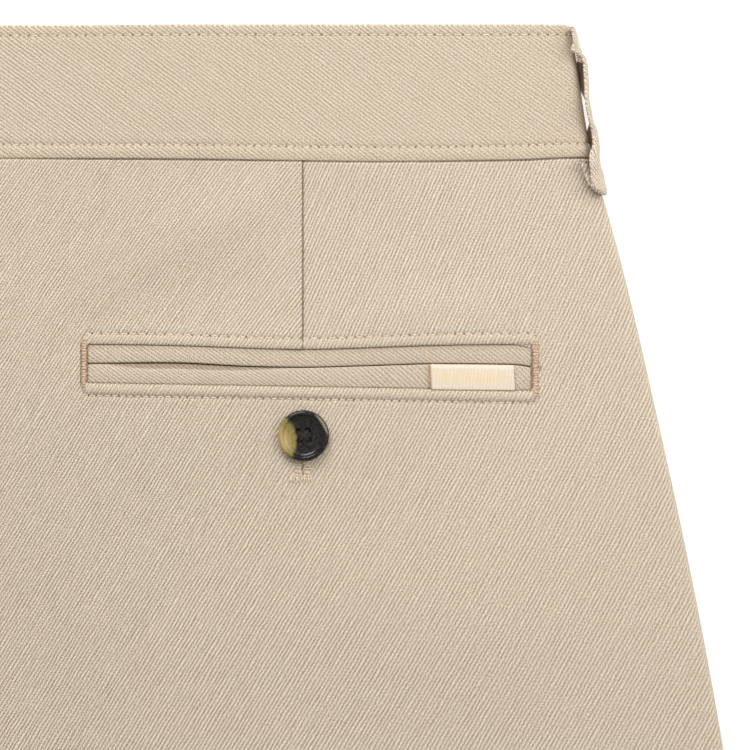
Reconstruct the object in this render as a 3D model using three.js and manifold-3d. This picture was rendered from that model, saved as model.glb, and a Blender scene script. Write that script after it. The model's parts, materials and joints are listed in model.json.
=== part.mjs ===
// Chino shorts, laid flat with the back upwards: legs, waistband, fly, pockets, buttons and belt loops.
// Millimetres. +X is the wearer's right, +Y runs up to the waist, +Z is away from the surface.
// The origin is on the surface, midway along and across the shorts.
// A "drop" is a distance down from the top edge of the waistband at the back.

import * as THREE from 'three';
import { mergeVertices } from 'three/addons/utils/BufferGeometryUtils.js';
import Module from 'manifold-3d';

const wasm = await Module();
wasm.setup();

// ---------------------------------------------------------------- driving dimensions

const LENGTH = 488;          // top edge of the waistband to the lowest point of the hem
const GAP = 0.3;             // between pieces that touch
const CLOTH = 1.0;           // wall of the body cloth
const SEAM_RISE = 2.2;       // height of the side seam and the inseam
const FOLD = 3.0;            // reach of the round fold at a panel's edge
const CROTCH = 285;          // drop of the crotch point
const CROTCH_TURN = 22;      // length over which the centre seam rounds under at the crotch
const HEM = { deep: 38, rise: 18, extra: 0.8 };
const FRONT_DIP = 6;         // how far the front waist lies below the back one at the centre

const BAND = { deep: 40, wall: 1.6, fold: 3.4, topHalf: 214.3, seamHalf: 220.3, height: 6.3 };
const LAP = { left: 12, right: 30, under: BAND.wall + GAP };
const FLY = { lap: 10, end: 205, curve: 20, settle: 18, shieldLeft: 22, shieldRight: 16, shieldEnd: 215 };
const ZIP = { left: 13, right: 12, top: 58, end: 205, chain: [-6.8, -3.2], chainHeight: 0.5 };
const SLIDER = { x: -5, top: 60, wide: 7, long: 10, thick: 1.0, tab: { wide: 4, long: 18, thick: 0.5 } };

const POCKET = { left: 70.6, right: 202.4, top: 94.9, bottom: 106.3, slope: 0.0172, mouth: 100.6 };
const POCKET_BOW = { drop: 1.5, reach: 32 };
const WELT = { under: 3, sunk: 0.35, clear: 0.35, bend: 0.3, flange: CLOTH + 2 * GAP };
const DART = { x: 134.4, end: 88, deep: 0.4, reach: 1.6 };
const TAB = { left: 172.4, right: 197.5, top: 101.0, bottom: 108.3, wall: 1.0 };
const SLANT = { inset: 48, end: 185, under: 12 };

const BUTTON = { radius: 7.6, thick: 2.4, holeRadius: 0.75, holePitch: 2.9, x: 134.7, drop: 122 };
const WAIST_BUTTON = { drop: 20, lift: BUTTON.thick + 1.4 * GAP, plateau: 10.5, reach: 23, backReach: 38 };

const LOOP = { wide: 8.8, wall: 1.0, frontX: 95, lift: 2.7, plateau: 9, reach: 30 };

// Outline of one leg, a row for each section down the side: half width of the shorts at that drop.
const SIDE = [
  { drop: 40, half: 220.5 },
  { drop: 60, half: 226.6 },
  { drop: 80, half: 231.8 },
  { drop: 110, half: 238.7 },
  { drop: 150, half: 247.5 },
  { drop: 190, half: 255.4 },
  { drop: 230, half: 262.3 },
  { drop: 290, half: 271.4 },
  { drop: 350, half: 279.4 },
  { drop: 410, half: 286.3 },
  { drop: 488, half: 294.0 },
];

// Inner edge of one leg, a row for each section: distance from the centre line.
const INSIDE = [
  { drop: CROTCH, half: 0 },
  { drop: 300, half: 1.6 },
  { drop: 340, half: 4.4 },
  { drop: 400, half: 7.4 },
  { drop: 488, half: 10.6 },
];

// Largest soft folds in the upper cloth: centre, half length along the fold, half width across it,
// its turn from the X axis in degrees, and how far it stands up (or sinks, below zero).
const FOLDS = [
  { x: 54, drop: 90, long: 62, wide: 14, turn: 88, rise: 0.5 },
  { x: 100, drop: 72, long: 42, wide: 9, turn: 33, rise: -0.5 },
  { x: 106, drop: 132, long: 34, wide: 15, turn: 52, rise: -0.45 },
  { x: 158, drop: 126, long: 26, wide: 18, turn: 75, rise: 0.4 },
  { x: 186, drop: 160, long: 48, wide: 22, turn: 60, rise: 0.35 },
  { x: 92, drop: 205, long: 70, wide: 26, turn: 64, rise: -0.4 },
  { x: 196, drop: 232, long: 60, wide: 24, turn: 118, rise: -0.4 },
  { x: 130, drop: 320, long: 80, wide: 26, turn: 96, rise: 0.45 },
  { x: 222, drop: 372, long: 70, wide: 24, turn: 78, rise: -0.4 },
  { x: 58, drop: 395, long: 60, wide: 20, turn: 84, rise: -0.4 },
  { x: -62, drop: 102, long: 58, wide: 15, turn: 96, rise: 0.45 },
  { x: -112, drop: 70, long: 38, wide: 10, turn: 150, rise: -0.5 },
  { x: -98, drop: 140, long: 40, wide: 16, turn: 122, rise: -0.4 },
  { x: -168, drop: 134, long: 30, wide: 18, turn: 104, rise: 0.4 },
  { x: -196, drop: 196, long: 52, wide: 22, turn: 112, rise: 0.35 },
  { x: -84, drop: 226, long: 64, wide: 24, turn: 118, rise: -0.45 },
  { x: -150, drop: 300, long: 74, wide: 26, turn: 80, rise: 0.4 },
  { x: -232, drop: 350, long: 66, wide: 22, turn: 104, rise: -0.4 },
  { x: -70, drop: 380, long: 62, wide: 22, turn: 98, rise: -0.4 },
];

// ---------------------------------------------------------------- small functions

const lerp = THREE.MathUtils.lerp;
const radians = THREE.MathUtils.degToRad;

/** Smooth 0 to 1 as a value goes from one end to the other, in either direction. */
function ease(value, from, to) {
  const t = Math.min(1, Math.max(0, (value - from) / (to - from)));
  return t * t * (3 - 2 * t);
}

/** Value of a table's column at a drop, on a smooth curve through its rows. */
function along(rows, column, drop) {
  let i = 0;
  while (i < rows.length - 2 && drop > rows[i + 1].drop) i += 1;
  const before = rows[Math.max(0, i - 1)];
  const a = rows[i];
  const b = rows[i + 1];
  const after = rows[Math.min(rows.length - 1, i + 2)];
  const run = b.drop - a.drop;
  const t = (drop - a.drop) / run;
  const slopeA = (b[column] - before[column]) / (b.drop - before.drop) * run;
  const slopeB = (after[column] - a[column]) / (after.drop - a.drop) * run;
  const t2 = t * t;
  const t3 = t2 * t;
  return a[column] * (2 * t3 - 3 * t2 + 1) + slopeA * (t3 - 2 * t2 + t)
    + b[column] * (3 * t2 - 2 * t3) + slopeB * (t3 - t2);
}

/** Point of the part at a drop, with its X and its height. */
function at(x, drop, z) {
  return new THREE.Vector3(x, LENGTH / 2 - drop, z);
}

/** Numbers that divide a span evenly, both ends included. */
function span(from, to, steps) {
  return Array.from({ length: steps + 1 }, (_, i) => lerp(from, to, i / steps));
}

// ---------------------------------------------------------------- the laid shape

/** Half width of the shorts at a drop. */
function sideAt(drop) {
  return along(SIDE, 'half', drop);
}

/** Distance of the inner edge of a leg from the centre line: half a seam gap above the crotch. */
function insideAt(drop) {
  const leg = drop > CROTCH ? along(INSIDE, 'half', drop) : 0;
  return GAP / 2 + leg;
}

/** How far the inner edge has rounded under at a drop: 0 above the crotch, 1 along the inseam. */
function inseamTurn(drop) {
  return ease(drop, CROTCH - CROTCH_TURN, CROTCH);
}

/** Lift of what lies over the fastened waist button, 0 to 1, gone within a reach of the button. */
function overButton(x, drop, reach) {
  const away = Math.hypot(x, drop - WAIST_BUTTON.drop - FRONT_DIP);
  return ease(away, reach, WAIST_BUTTON.plateau);
}

/**
 * Height of the front's outer face above the surface: it rises over the button and the front loops.
 * Its drop is measured from the front's own top edge.
 */
function frontLift(x, drop) {
  const overLoop = ease(Math.abs(Math.abs(x) - LOOP.frontX), LOOP.reach, LOOP.plateau);
  const pastLoop = ease(drop, 82, 53);
  return WAIST_BUTTON.lift * overButton(x, drop + FRONT_DIP, WAIST_BUTTON.reach)
    + LOOP.lift * overLoop * pastLoop;
}

/** Height that the right front adds near the centre, where it lies on the left one's fly lap. */
function flyStep(x, drop, step) {
  const lapEnd = FLY.end + FLY.curve + FLY.settle;
  return step * ease(x, 36, 13.5) * ease(drop, lapEnd + 20, lapEnd);
}

/** Soft folds at a point of the upper cloth. */
function foldsAt(x, drop) {
  let rise = 0;
  for (const fold of FOLDS) {
    const turn = radians(fold.turn);
    const right = x - fold.x;
    const up = fold.drop - drop;
    const lengthwise = (right * Math.cos(turn) + up * Math.sin(turn)) / fold.long;
    const crosswise = (up * Math.cos(turn) - right * Math.sin(turn)) / fold.wide;
    rise += fold.rise * Math.exp(-lengthwise * lengthwise - crosswise * crosswise);
  }
  return rise;
}

/** Height of the back's outer face: a fuller ridge over the fly, and the crease of each dart. */
function backHeight(x, drop) {
  const lapEnd = FLY.end + FLY.curve + FLY.settle;
  const overFly = ease(Math.abs(x), 60, 25) * ease(drop, lapEnd + 30, lapEnd);
  const underBand = 0.8 * Math.exp(-(drop - BAND.deep) / 14);
  const dart = DART.deep * Math.exp(-(((Math.abs(x) - DART.x) / DART.reach) ** 2))
    * ease(drop, DART.end, DART.end - 6);
  const button = 1.0 * overButton(x, drop, WAIST_BUTTON.backReach);
  return 5.0 + 1.3 * overFly + button + underBand + foldsAt(x, drop) - dart;
}

/** Height of the waistband's outer face at the back. */
function bandHeight(x, drop) {
  return BAND.height + 2.2 * overButton(x, drop, WAIST_BUTTON.backReach);
}

/** Dip of a pocket's edges where the dart pulls on them, 0 to 1. */
function pocketBow(x) {
  return Math.exp(-(((Math.abs(x) - DART.x) / POCKET_BOW.reach) ** 2));
}

/** Drops of a pocket window's upper edge, of its mouth and of its lower edge. */
function pocketEdges(x) {
  const bow = pocketBow(x);
  return {
    top: POCKET.top + POCKET_BOW.drop * bow,
    mouth: POCKET.mouth + 1.1 * bow,
    bottom: POCKET.bottom + POCKET.slope * (Math.abs(x) - POCKET.left),
  };
}

/** Distance from the centre of a slant front pocket's mouth at a drop. */
function slantAt(drop) {
  return lerp(sideAt(BAND.deep) - SLANT.inset, sideAt(SLANT.end) - 1.5,
    (drop - BAND.deep) / (SLANT.end - BAND.deep));
}

// ---------------------------------------------------------------- making solids

/** Closed solid between two faces of the same rows and columns, with its four edges closed. */
function wall(outer, inner) {
  const rows = outer.length;
  const columns = outer[0].length;
  const points = [...outer.flat(), ...inner.flat()];
  const index = (face, row, column) => (face * rows + row) * columns + column;
  const triangles = [];
  const quad = (a, b, c, d) => triangles.push(a, b, c, a, c, d);
  for (let r = 0; r < rows - 1; r += 1) {
    for (let c = 0; c < columns - 1; c += 1) {
      quad(index(0, r, c), index(0, r, c + 1), index(0, r + 1, c + 1), index(0, r + 1, c));
      quad(index(1, r, c), index(1, r + 1, c), index(1, r + 1, c + 1), index(1, r, c + 1));
    }
    const end = columns - 1;
    quad(index(0, r, 0), index(0, r + 1, 0), index(1, r + 1, 0), index(1, r, 0));
    quad(index(0, r, end), index(1, r, end), index(1, r + 1, end), index(0, r + 1, end));
  }
  for (let c = 0; c < columns - 1; c += 1) {
    const end = rows - 1;
    quad(index(0, 0, c), index(1, 0, c), index(1, 0, c + 1), index(0, 0, c + 1));
    quad(index(0, end, c), index(0, end, c + 1), index(1, end, c + 1), index(1, end, c));
  }
  return facingOut(points, triangles);
}

/** Geometry from points and triangles, turned so that its faces point outwards. */
function facingOut(points, triangles) {
  let volume = 0;
  for (let i = 0; i < triangles.length; i += 3) {
    const [a, b, c] = [0, 1, 2].map((k) => points[triangles[i + k]]);
    volume += a.dot(new THREE.Vector3().crossVectors(b, c));
  }
  if (volume < 0) triangles.reverse();
  const geometry = new THREE.BufferGeometry();
  geometry.setAttribute('position',
    new THREE.Float32BufferAttribute(points.flatMap((p) => p.toArray()), 3));
  geometry.setIndex(triangles);
  return geometry;
}

/** Solid of a closed geometry, for cutting. */
function solidOf(geometry) {
  const plain = geometry.clone();
  plain.deleteAttribute('normal');
  plain.deleteAttribute('uv');
  const merged = mergeVertices(plain, 1e-4);
  return new wasm.Manifold(new wasm.Mesh({
    numProp: 3,
    vertProperties: new Float32Array(merged.attributes.position.array),
    triVerts: new Uint32Array(merged.index.array),
  }));
}

/** Geometry with each of the cutters taken out of it. */
function cut(geometry, cutters) {
  let solid = solidOf(geometry);
  for (const cutter of cutters) solid = solid.subtract(solidOf(cutter));
  return geometryOf(solid);
}

/** Geometry of a solid. */
function geometryOf(solid) {
  const mesh = solid.getMesh();
  const result = new THREE.BufferGeometry();
  result.setAttribute('position', new THREE.Float32BufferAttribute(mesh.vertProperties, 3));
  result.setIndex(Array.from(mesh.triVerts));
  return result;
}

/** Upright prism through the whole height of the shorts, on an outline of X and drop. */
function prism(outline) {
  const shape = new THREE.Shape(outline.map(([x, drop]) => new THREE.Vector2(x, LENGTH / 2 - drop)));
  const height = 30;
  return new THREE.ExtrudeGeometry(shape, { depth: height, bevelEnabled: false, steps: 1 })
    .translate(0, 0, -height / 3);
}

// ---------------------------------------------------------------- legs

// Stations across a panel: in the inner fold, on the flat, and in the fold at the side.
const INNER_FOLD = [1, 0.7, 0.38].map((part) => ({ inner: part, flat: 0, outer: 0 }));
const OUTER_FOLD = [0.3, 0.55, 0.78, 1].map((part) => ({ inner: 0, flat: 1, outer: part }));

/** Stations across a panel, with the flat's own ones between its two folds. */
function stations(flat) {
  return [...INNER_FOLD, ...flat.map((part) => ({ inner: 0, flat: part, outer: 0 })), ...OUTER_FOLD];
}

/** Drops down a panel as shares of its length, close together at the waist, crotch and hem. */
const DOWN = [
  ...span(0, 0.062, 3), ...span(0.095, 0.15, 3), ...span(0.19, 0.44, 5),
  ...[0.475, 0.505, 0.522, 0.536, 0.5467, 0.56, 0.59], ...span(0.66, 0.86, 3),
  (LENGTH - HEM.deep - BAND.deep) / (LENGTH - BAND.deep), 1,
];

/** Drop of a station: the front's waist dips to the centre, and the hem rises to the side. */
function dropAt(across, down, dip) {
  const top = BAND.deep + GAP / 2 + dip * (1 - across * across);
  return lerp(top, LENGTH - HEM.rise * across, down);
}

/** Thickness of a leg's wall at a share of its length: the hem is turned up inside. */
function wallAt(down, row) {
  const hemStart = DOWN[DOWN.length - 2];
  return down >= hemStart && row >= DOWN.length - 2 ? CLOTH + HEM.extra : CLOTH;
}

/** One leg panel: outer face from its stations, inner face moved in by the wall's thickness. */
function legPanel({ side, flat, dip, innerEdge, column, height, upward }) {
  const outer = [];
  const inner = [];
  DOWN.forEach((down, row) => {
    const outerRow = [];
    const innerRow = [];
    for (const station of stations(flat)) {
      const drop = dropAt(station.flat, down, dip);
      const turn = inseamTurn(drop);
      const from = innerEdge(drop) + FOLD;
      const to = sideAt(drop) - FOLD;
      const sideAngle = station.outer * Math.PI / 2;
      const innerAngle = station.inner * Math.PI / 2;
      const x = column(from, to, station.flat) + FOLD * (Math.sin(sideAngle) - Math.sin(innerAngle));
      const level = height(side * x, drop);
      const seam = SEAM_RISE + upward * GAP / 2;
      const fallen = 1 - Math.cos(sideAngle) + turn * (1 - Math.cos(innerAngle));
      const z = lerp(level, seam, fallen);
      const lean = sideAngle - turn * innerAngle;
      const thick = wallAt(down, row);
      outerRow.push(at(side * x, drop, z));
      innerRow.push(at(side * (x - thick * Math.sin(lean)), drop,
        z - upward * thick * Math.cos(lean)));
    }
    outer.push(side > 0 ? outerRow : outerRow.reverse());
    inner.push(side > 0 ? innerRow : innerRow.reverse());
  });
  return wall(outer, inner);
}

/** Back panel of one side, with the window of its pocket cut through. */
function backPanel(side) {
  const toDart = [0, 0.1, 0.24, 0.38, 0.52, 0.66, 0.8, 0.91, 0.975, 1];
  const fromDart = [0.025, 0.1, 0.22, 0.36, 0.5, 0.66, 0.83, 1];
  const dartShare = 0.5;
  const flat = [
    ...toDart.map((part) => part * dartShare),
    ...fromDart.map((part) => lerp(dartShare, 1, part)),
  ];
  const column = (from, to, share) => (share <= dartShare
    ? lerp(from, DART.x, share / dartShare)
    : lerp(DART.x, to, (share - dartShare) / (1 - dartShare)));
  const panel = legPanel({
    side, flat, dip: 0, innerEdge: insideAt, column, height: backHeight, upward: 1,
  });
  const stops = span(POCKET.left, POCKET.right, 12);
  const window = [
    ...stops.map((x) => [side * x, pocketEdges(x).top]),
    ...stops.toReversed().map((x) => [side * x, pocketEdges(x).bottom]),
  ];
  return cut(panel, [prism(side > 0 ? window.toReversed() : window)]);
}

/** Inner edge of the left front: its fly lap reaches past the centre and curves back below. */
function leftFrontEdge(drop) {
  const lap = (FLY.lap + GAP / 2) * ease(drop, FLY.end + FLY.curve, FLY.end);
  return insideAt(drop) - lap;
}

/** Height of the outer face of a front, the right one lying on the left one's lap. */
function frontHeight(side) {
  const step = side > 0 ? CLOTH + GAP : 0;
  return (x, drop) => {
    const dip = FRONT_DIP * (1 - Math.min(1, (x / sideAt(drop)) ** 2));
    return frontLift(x, drop - dip) + flyStep(side * x, drop, step);
  };
}

/** Front panel of one side, cut away along the slanted mouth of its pocket. */
function frontPanel(side) {
  const panel = legPanel({
    side,
    flat: [0, 0.05, 0.1, 0.17, 0.26, 0.34, 0.4, 0.47, 0.55, 0.65, 0.78, 0.9, 1],
    dip: FRONT_DIP,
    innerEdge: side > 0 ? insideAt : leftFrontEdge,
    column: lerp,
    height: frontHeight(side),
    upward: -1,
  });
  const past = sideAt(SLANT.end) + 20;
  const above = BAND.deep - 10;
  const corner = [
    [side * slantAt(above), above],
    [side * past, above],
    [side * past, SLANT.end],
    [side * slantAt(SLANT.end), SLANT.end],
  ];
  return cut(panel, [prism(side > 0 ? corner : corner.toReversed())]);
}

/** Piece behind a slanted mouth: it carries the front on to the side seam, one wall further in. */
function slantFacing(side) {
  const height = frontHeight(side);
  const inset = CLOTH + GAP;
  const outer = [];
  const inner = [];
  for (const down of span(0, 1, 8)) {
    const outerRow = [];
    const innerRow = [];
    for (const station of [...span(0, 1, 5).map((flat) => ({ flat, outer: 0 })), ...OUTER_FOLD]) {
      const bottom = SLANT.end + 12;
      const middleDrop = lerp(BAND.deep + GAP / 2, bottom, down);
      const from = slantAt(Math.min(middleDrop, SLANT.end - 8)) - SLANT.under;
      const to = sideAt(middleDrop) - FOLD;
      const flatX = lerp(from, to, station.flat);
      const share = flatX / sideAt(middleDrop);
      const drop = middleDrop + (1 - down) * FRONT_DIP * Math.max(0, 1 - share * share);
      const angle = station.outer * Math.PI / 2;
      const x = flatX + FOLD * Math.sin(angle);
      const z = lerp(height(side * x, drop), SEAM_RISE - GAP / 2, 1 - Math.cos(angle));
      const place = (depth) => at(side * (x - depth * Math.sin(angle)), drop,
        z + depth * Math.cos(angle));
      outerRow.push(place(inset));
      innerRow.push(place(inset + CLOTH));
    }
    outer.push(outerRow);
    inner.push(innerRow);
  }
  return wall(outer, inner);
}

// ---------------------------------------------------------------- fly

/** Flat strip inside the fly: its outer face follows the lift of the front below it. */
function flyStrip({ columns, drops, rise, top }) {
  const outer = [];
  const inner = [];
  for (const drop of drops) {
    const lift = (x) => frontLift(x, drop - FRONT_DIP);
    outer.push(columns.map((x) => at(x, drop, lift(x) + rise(x, drop))));
    inner.push(columns.map((x) => at(x, drop, lift(x) + top)));
  }
  return wall(outer, inner);
}

/** The zip: its tape, with the closed chain standing out towards the front, below the slider. */
function zip() {
  const [chainLeft, chainRight] = ZIP.chain;
  const chainTop = SLIDER.top + SLIDER.long + GAP;
  const level = 2 * (CLOTH + GAP);
  const edge = 0.3;
  const inChain = (x, drop) => x >= chainLeft && x <= chainRight && drop >= chainTop;
  return flyStrip({
    columns: [-ZIP.left, chainLeft - edge, chainLeft, chainRight, chainRight + edge, ZIP.right],
    drops: [ZIP.top, chainTop - edge, ...span(chainTop, ZIP.end, 5)],
    rise: (x, drop) => level - (inChain(x, drop) ? ZIP.chainHeight : 0),
    top: level + CLOTH,
  });
}

/** The shield behind the zip. */
function flyShield() {
  const level = 3 * (CLOTH + GAP);
  return flyStrip({
    columns: [-FLY.shieldLeft, -12, -4, 4, ZIP.right, FLY.shieldRight],
    drops: span(BAND.deep + FRONT_DIP + 1, FLY.shieldEnd, 7),
    rise: () => level,
    top: level + CLOTH,
  });
}

/** Zip slider with its pull tab folded down flat over the start of the chain. */
function zipSlider() {
  const { wide, long, thick, tab } = SLIDER;
  const half = wide / 2;
  const halfTab = tab.wide / 2;
  const plate = (outline, depth) => new THREE.ExtrudeGeometry(
    new THREE.Shape(outline.map(([x, down]) => new THREE.Vector2(x, -down))),
    { depth, bevelEnabled: false },
  );
  const body = plate([
    [-half, 1.5], [-half + 1.5, 0], [half - 1.5, 0], [half, 1.5], [half - 1, long], [1 - half, long],
  ], thick);
  const pull = plate([
    [-halfTab, long - 2], [halfTab, long - 2], [halfTab, long + tab.long - 1.5],
    [halfTab - 1.2, long + tab.long], [1.2 - halfTab, long + tab.long],
    [-halfTab, long + tab.long - 1.5],
  ], tab.thick);
  return geometryOf(solidOf(body).add(solidOf(pull)));
}

// ---------------------------------------------------------------- waistband

/** One half of the waistband, from the centre back round the side fold to its end at the front. */
function bandHalf(side) {
  const lap = side > 0 ? LAP.right : LAP.left;
  const under = side > 0 ? LAP.under : 0;
  const back = [0, 0.05, 0.1, 0.2, 0.35, 0.5, 0.65, 0.8, 0.92, 1];
  const turns = span(0, Math.PI, 8).slice(1, -1);
  const overLoop = [30, 18, 7, -7, -18, -30].map((off) => LOOP.frontX + off);
  const overFly = [46, 36, 24, 17.5, 12, 6, 0, -6, -lap];
  if (side > 0) overFly.splice(-1, 0, -12, -17.5, -24);
  const columns = [
    ...back.map((share) => ({ share, turn: 0 })),
    ...turns.map((turn) => ({ share: 1, turn })),
    ...[1, 0.9, 0.75].map((share) => ({ share, turn: Math.PI })),
    ...[...overLoop, ...overFly].map((x) => ({ x, turn: Math.PI })),
  ];
  const outer = [];
  const inner = [];
  for (const down of span(0, 1, 6)) {
    const rowDrop = down * (BAND.deep - GAP / 2);
    const edge = lerp(BAND.topHalf, BAND.seamHalf, down);
    const outerRow = [];
    const innerRow = [];
    for (const column of columns) {
      const { turn } = column;
      const foldX = edge - BAND.fold;
      const flatX = column.x ?? lerp(GAP / 2, foldX, column.share);
      const x = flatX + BAND.fold * Math.sin(turn);
      const dip = turn === Math.PI ? FRONT_DIP * (1 - (x / foldX) ** 2) : 0;
      const top = bandHeight(side * x, rowDrop);
      const bottom = frontLift(side * x, rowDrop) + under * ease(x, 36, 13.5);
      const z = lerp(bottom, top, (1 + Math.cos(turn)) / 2);
      outerRow.push(at(side * x, rowDrop + dip, z));
      innerRow.push(at(side * (x - BAND.wall * Math.sin(turn)), rowDrop + dip,
        z - BAND.wall * Math.cos(turn)));
    }
    outer.push(side > 0 ? outerRow : outerRow.reverse());
    inner.push(side > 0 ? innerRow : innerRow.reverse());
  }
  return wall(outer, inner);
}

// ---------------------------------------------------------------- belt loops

// Course of a drop loop from its caught end to its tacked end, a row for each bend: the drop, and the
// height of the loop's middle above what it lies on, in loop walls.
const LOOP_COURSE = [
  { drop: 40.6, rise: 0.8 },
  { drop: 44.5, rise: 0.8 },
  { drop: 48.2, rise: 0.82 },
  { drop: 49.1, rise: 0.86 },
  { drop: 49.65, rise: 1.08 },
  { drop: 49.88, rise: 1.56 },
  { drop: 49.65, rise: 2.04 },
  { drop: 49.1, rise: 2.26 },
  { drop: 46.5, rise: 2.3 },
  { drop: 41.0, rise: 2.3 },
  { drop: 33.0, rise: 2.1 },
  { drop: 24.0, rise: 1.95 },
  { drop: 15.0, rise: 2.0 },
  { drop: 7.0, rise: 2.2 },
  { drop: 3.9, rise: 2.24 },
  { drop: 3.2, rise: 2.2 },
  { drop: 2.68, rise: 2.0 },
  { drop: 2.45, rise: 1.5 },
  { drop: 2.68, rise: 1.02 },
  { drop: 3.2, rise: 0.84 },
  { drop: 5.0, rise: 0.8 },
  { drop: 9.5, rise: 0.8 },
];

/** Strip with a rectangular section carried along middle points, each with its own width direction. */
function strip(middles, widths, wallThick, wide) {
  const outer = [];
  const inner = [];
  middles.forEach((middle, i) => {
    const before = middles[Math.max(0, i - 1)];
    const after = middles[Math.min(middles.length - 1, i + 1)];
    const forward = new THREE.Vector3().subVectors(after, before).normalize();
    const normal = new THREE.Vector3().crossVectors(widths[i], forward).normalize();
    const edges = [-0.5, 0.5].map((half) => middle.clone().addScaledVector(widths[i], half * wide));
    outer.push(edges.map((edge) => edge.clone().addScaledVector(normal, wallThick / 2)));
    inner.push(edges.map((edge) => edge.clone().addScaledVector(normal, -wallThick / 2)));
  });
  return wall(outer, inner);
}

/** Belt loop on the back, over the centre seam. */
function backLoop() {
  const middles = LOOP_COURSE.map(({ drop, rise }) => {
    const base = drop > BAND.deep ? backHeight(0, drop) : bandHeight(0, drop);
    return at(0, drop, Math.max(base, drop > 38 ? backHeight(0, BAND.deep) : 0) + rise * LOOP.wall);
  });
  return strip(middles, middles.map(() => new THREE.Vector3(1, 0, 0)), LOOP.wall, LOOP.wide);
}

/** Belt loop under the front: its outer run lies on the surface. */
function frontLoop(side) {
  const x = side * LOOP.frontX;
  const dip = FRONT_DIP * (1 - (LOOP.frontX / sideAt(BAND.deep)) ** 2);
  const outerRun = LOOP.lift - LOOP.wall / 2;
  const middles = LOOP_COURSE.map(({ drop, rise }) => at(x, drop + dip,
    LOOP.lift - Math.min(rise * LOOP.wall, outerRun)));
  return strip(middles, middles.map(() => new THREE.Vector3(1, 0, 0)), LOOP.wall, LOOP.wide);
}

// Course of the loop on the side fold, a row for each bend: drop, height of the strip's middle above
// the fold in loop walls, its lean from upright in degrees, and how far it has slid up along its width.
const SIDE_COURSE = [
  { drop: 40.9, rise: 0.85, lean: 50, slide: 2.0 },
  { drop: 44.5, rise: 0.85, lean: 48, slide: 2.4 },
  { drop: 48.0, rise: 0.86, lean: 46, slide: 2.8 },
  { drop: 49.2, rise: 0.92, lean: 46, slide: 2.9 },
  { drop: 49.8, rise: 1.14, lean: 46, slide: 3.0 },
  { drop: 50.02, rise: 1.58, lean: 46, slide: 3.0 },
  { drop: 49.8, rise: 2.02, lean: 46, slide: 3.0 },
  { drop: 49.2, rise: 2.24, lean: 45, slide: 3.0 },
  { drop: 46.5, rise: 2.3, lean: 44, slide: 2.8 },
  { drop: 41.0, rise: 2.9, lean: 46, slide: 0.5 },
  { drop: 36.5, rise: 3.3, lean: 26, slide: 1.0 },
  { drop: 31.0, rise: 2.9, lean: 15, slide: 0.9 },
  { drop: 24.0, rise: 1.85, lean: 11, slide: 1.0 },
  { drop: 16.0, rise: 1.8, lean: 6, slide: 1.3 },
  { drop: 9.8, rise: 2.7, lean: 5, slide: 1.4 },
  { drop: 7.4, rise: 2.68, lean: 5, slide: 1.4 },
  { drop: 6.2, rise: 2.5, lean: 5, slide: 1.4 },
  { drop: 5.4, rise: 2.1, lean: 5, slide: 1.4 },
  { drop: 5.2, rise: 1.6, lean: 5, slide: 1.4 },
  { drop: 5.5, rise: 1.14, lean: 5, slide: 1.4 },
  { drop: 6.3, rise: 0.9, lean: 5, slide: 1.4 },
  { drop: 10.5, rise: 0.85, lean: 5, slide: 1.4 },
];

/** Belt loop on the side fold, seen on edge from above: it leans outwards more towards its foot. */
function sideLoop(side) {
  const middles = [];
  const widths = [];
  for (const { drop, rise, lean, slide } of SIDE_COURSE) {
    const angle = radians(lean);
    const outwards = new THREE.Vector2(Math.cos(angle), Math.sin(angle));
    const upwards = new THREE.Vector2(-Math.sin(angle), Math.cos(angle));
    const bandEdge = lerp(BAND.topHalf, BAND.seamHalf, Math.min(1, drop / BAND.deep));
    const bandFold = { middle: new THREE.Vector2(bandEdge - BAND.fold, BAND.height / 2), half: BAND.fold };
    const legFold = { middle: new THREE.Vector2(sideAt(drop) - FOLD, SEAM_RISE), half: 3.2 };
    const under = drop < 38 ? [bandFold] : drop > 43 ? [legFold] : [bandFold, legFold];
    const reach = Math.max(...under.map((fold) => fold.middle.dot(outwards) + fold.half));
    const start = under[0].middle;
    const middle = start.clone()
      .addScaledVector(outwards, reach - start.dot(outwards) + rise * LOOP.wall)
      .addScaledVector(upwards, slide);
    middles.push(at(side * middle.x, drop, middle.y));
    widths.push(new THREE.Vector3(side * upwards.x, 0, upwards.y));
  }
  return strip(middles, widths, LOOP.wall, LOOP.wide);
}

// ---------------------------------------------------------------- back pockets

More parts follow.
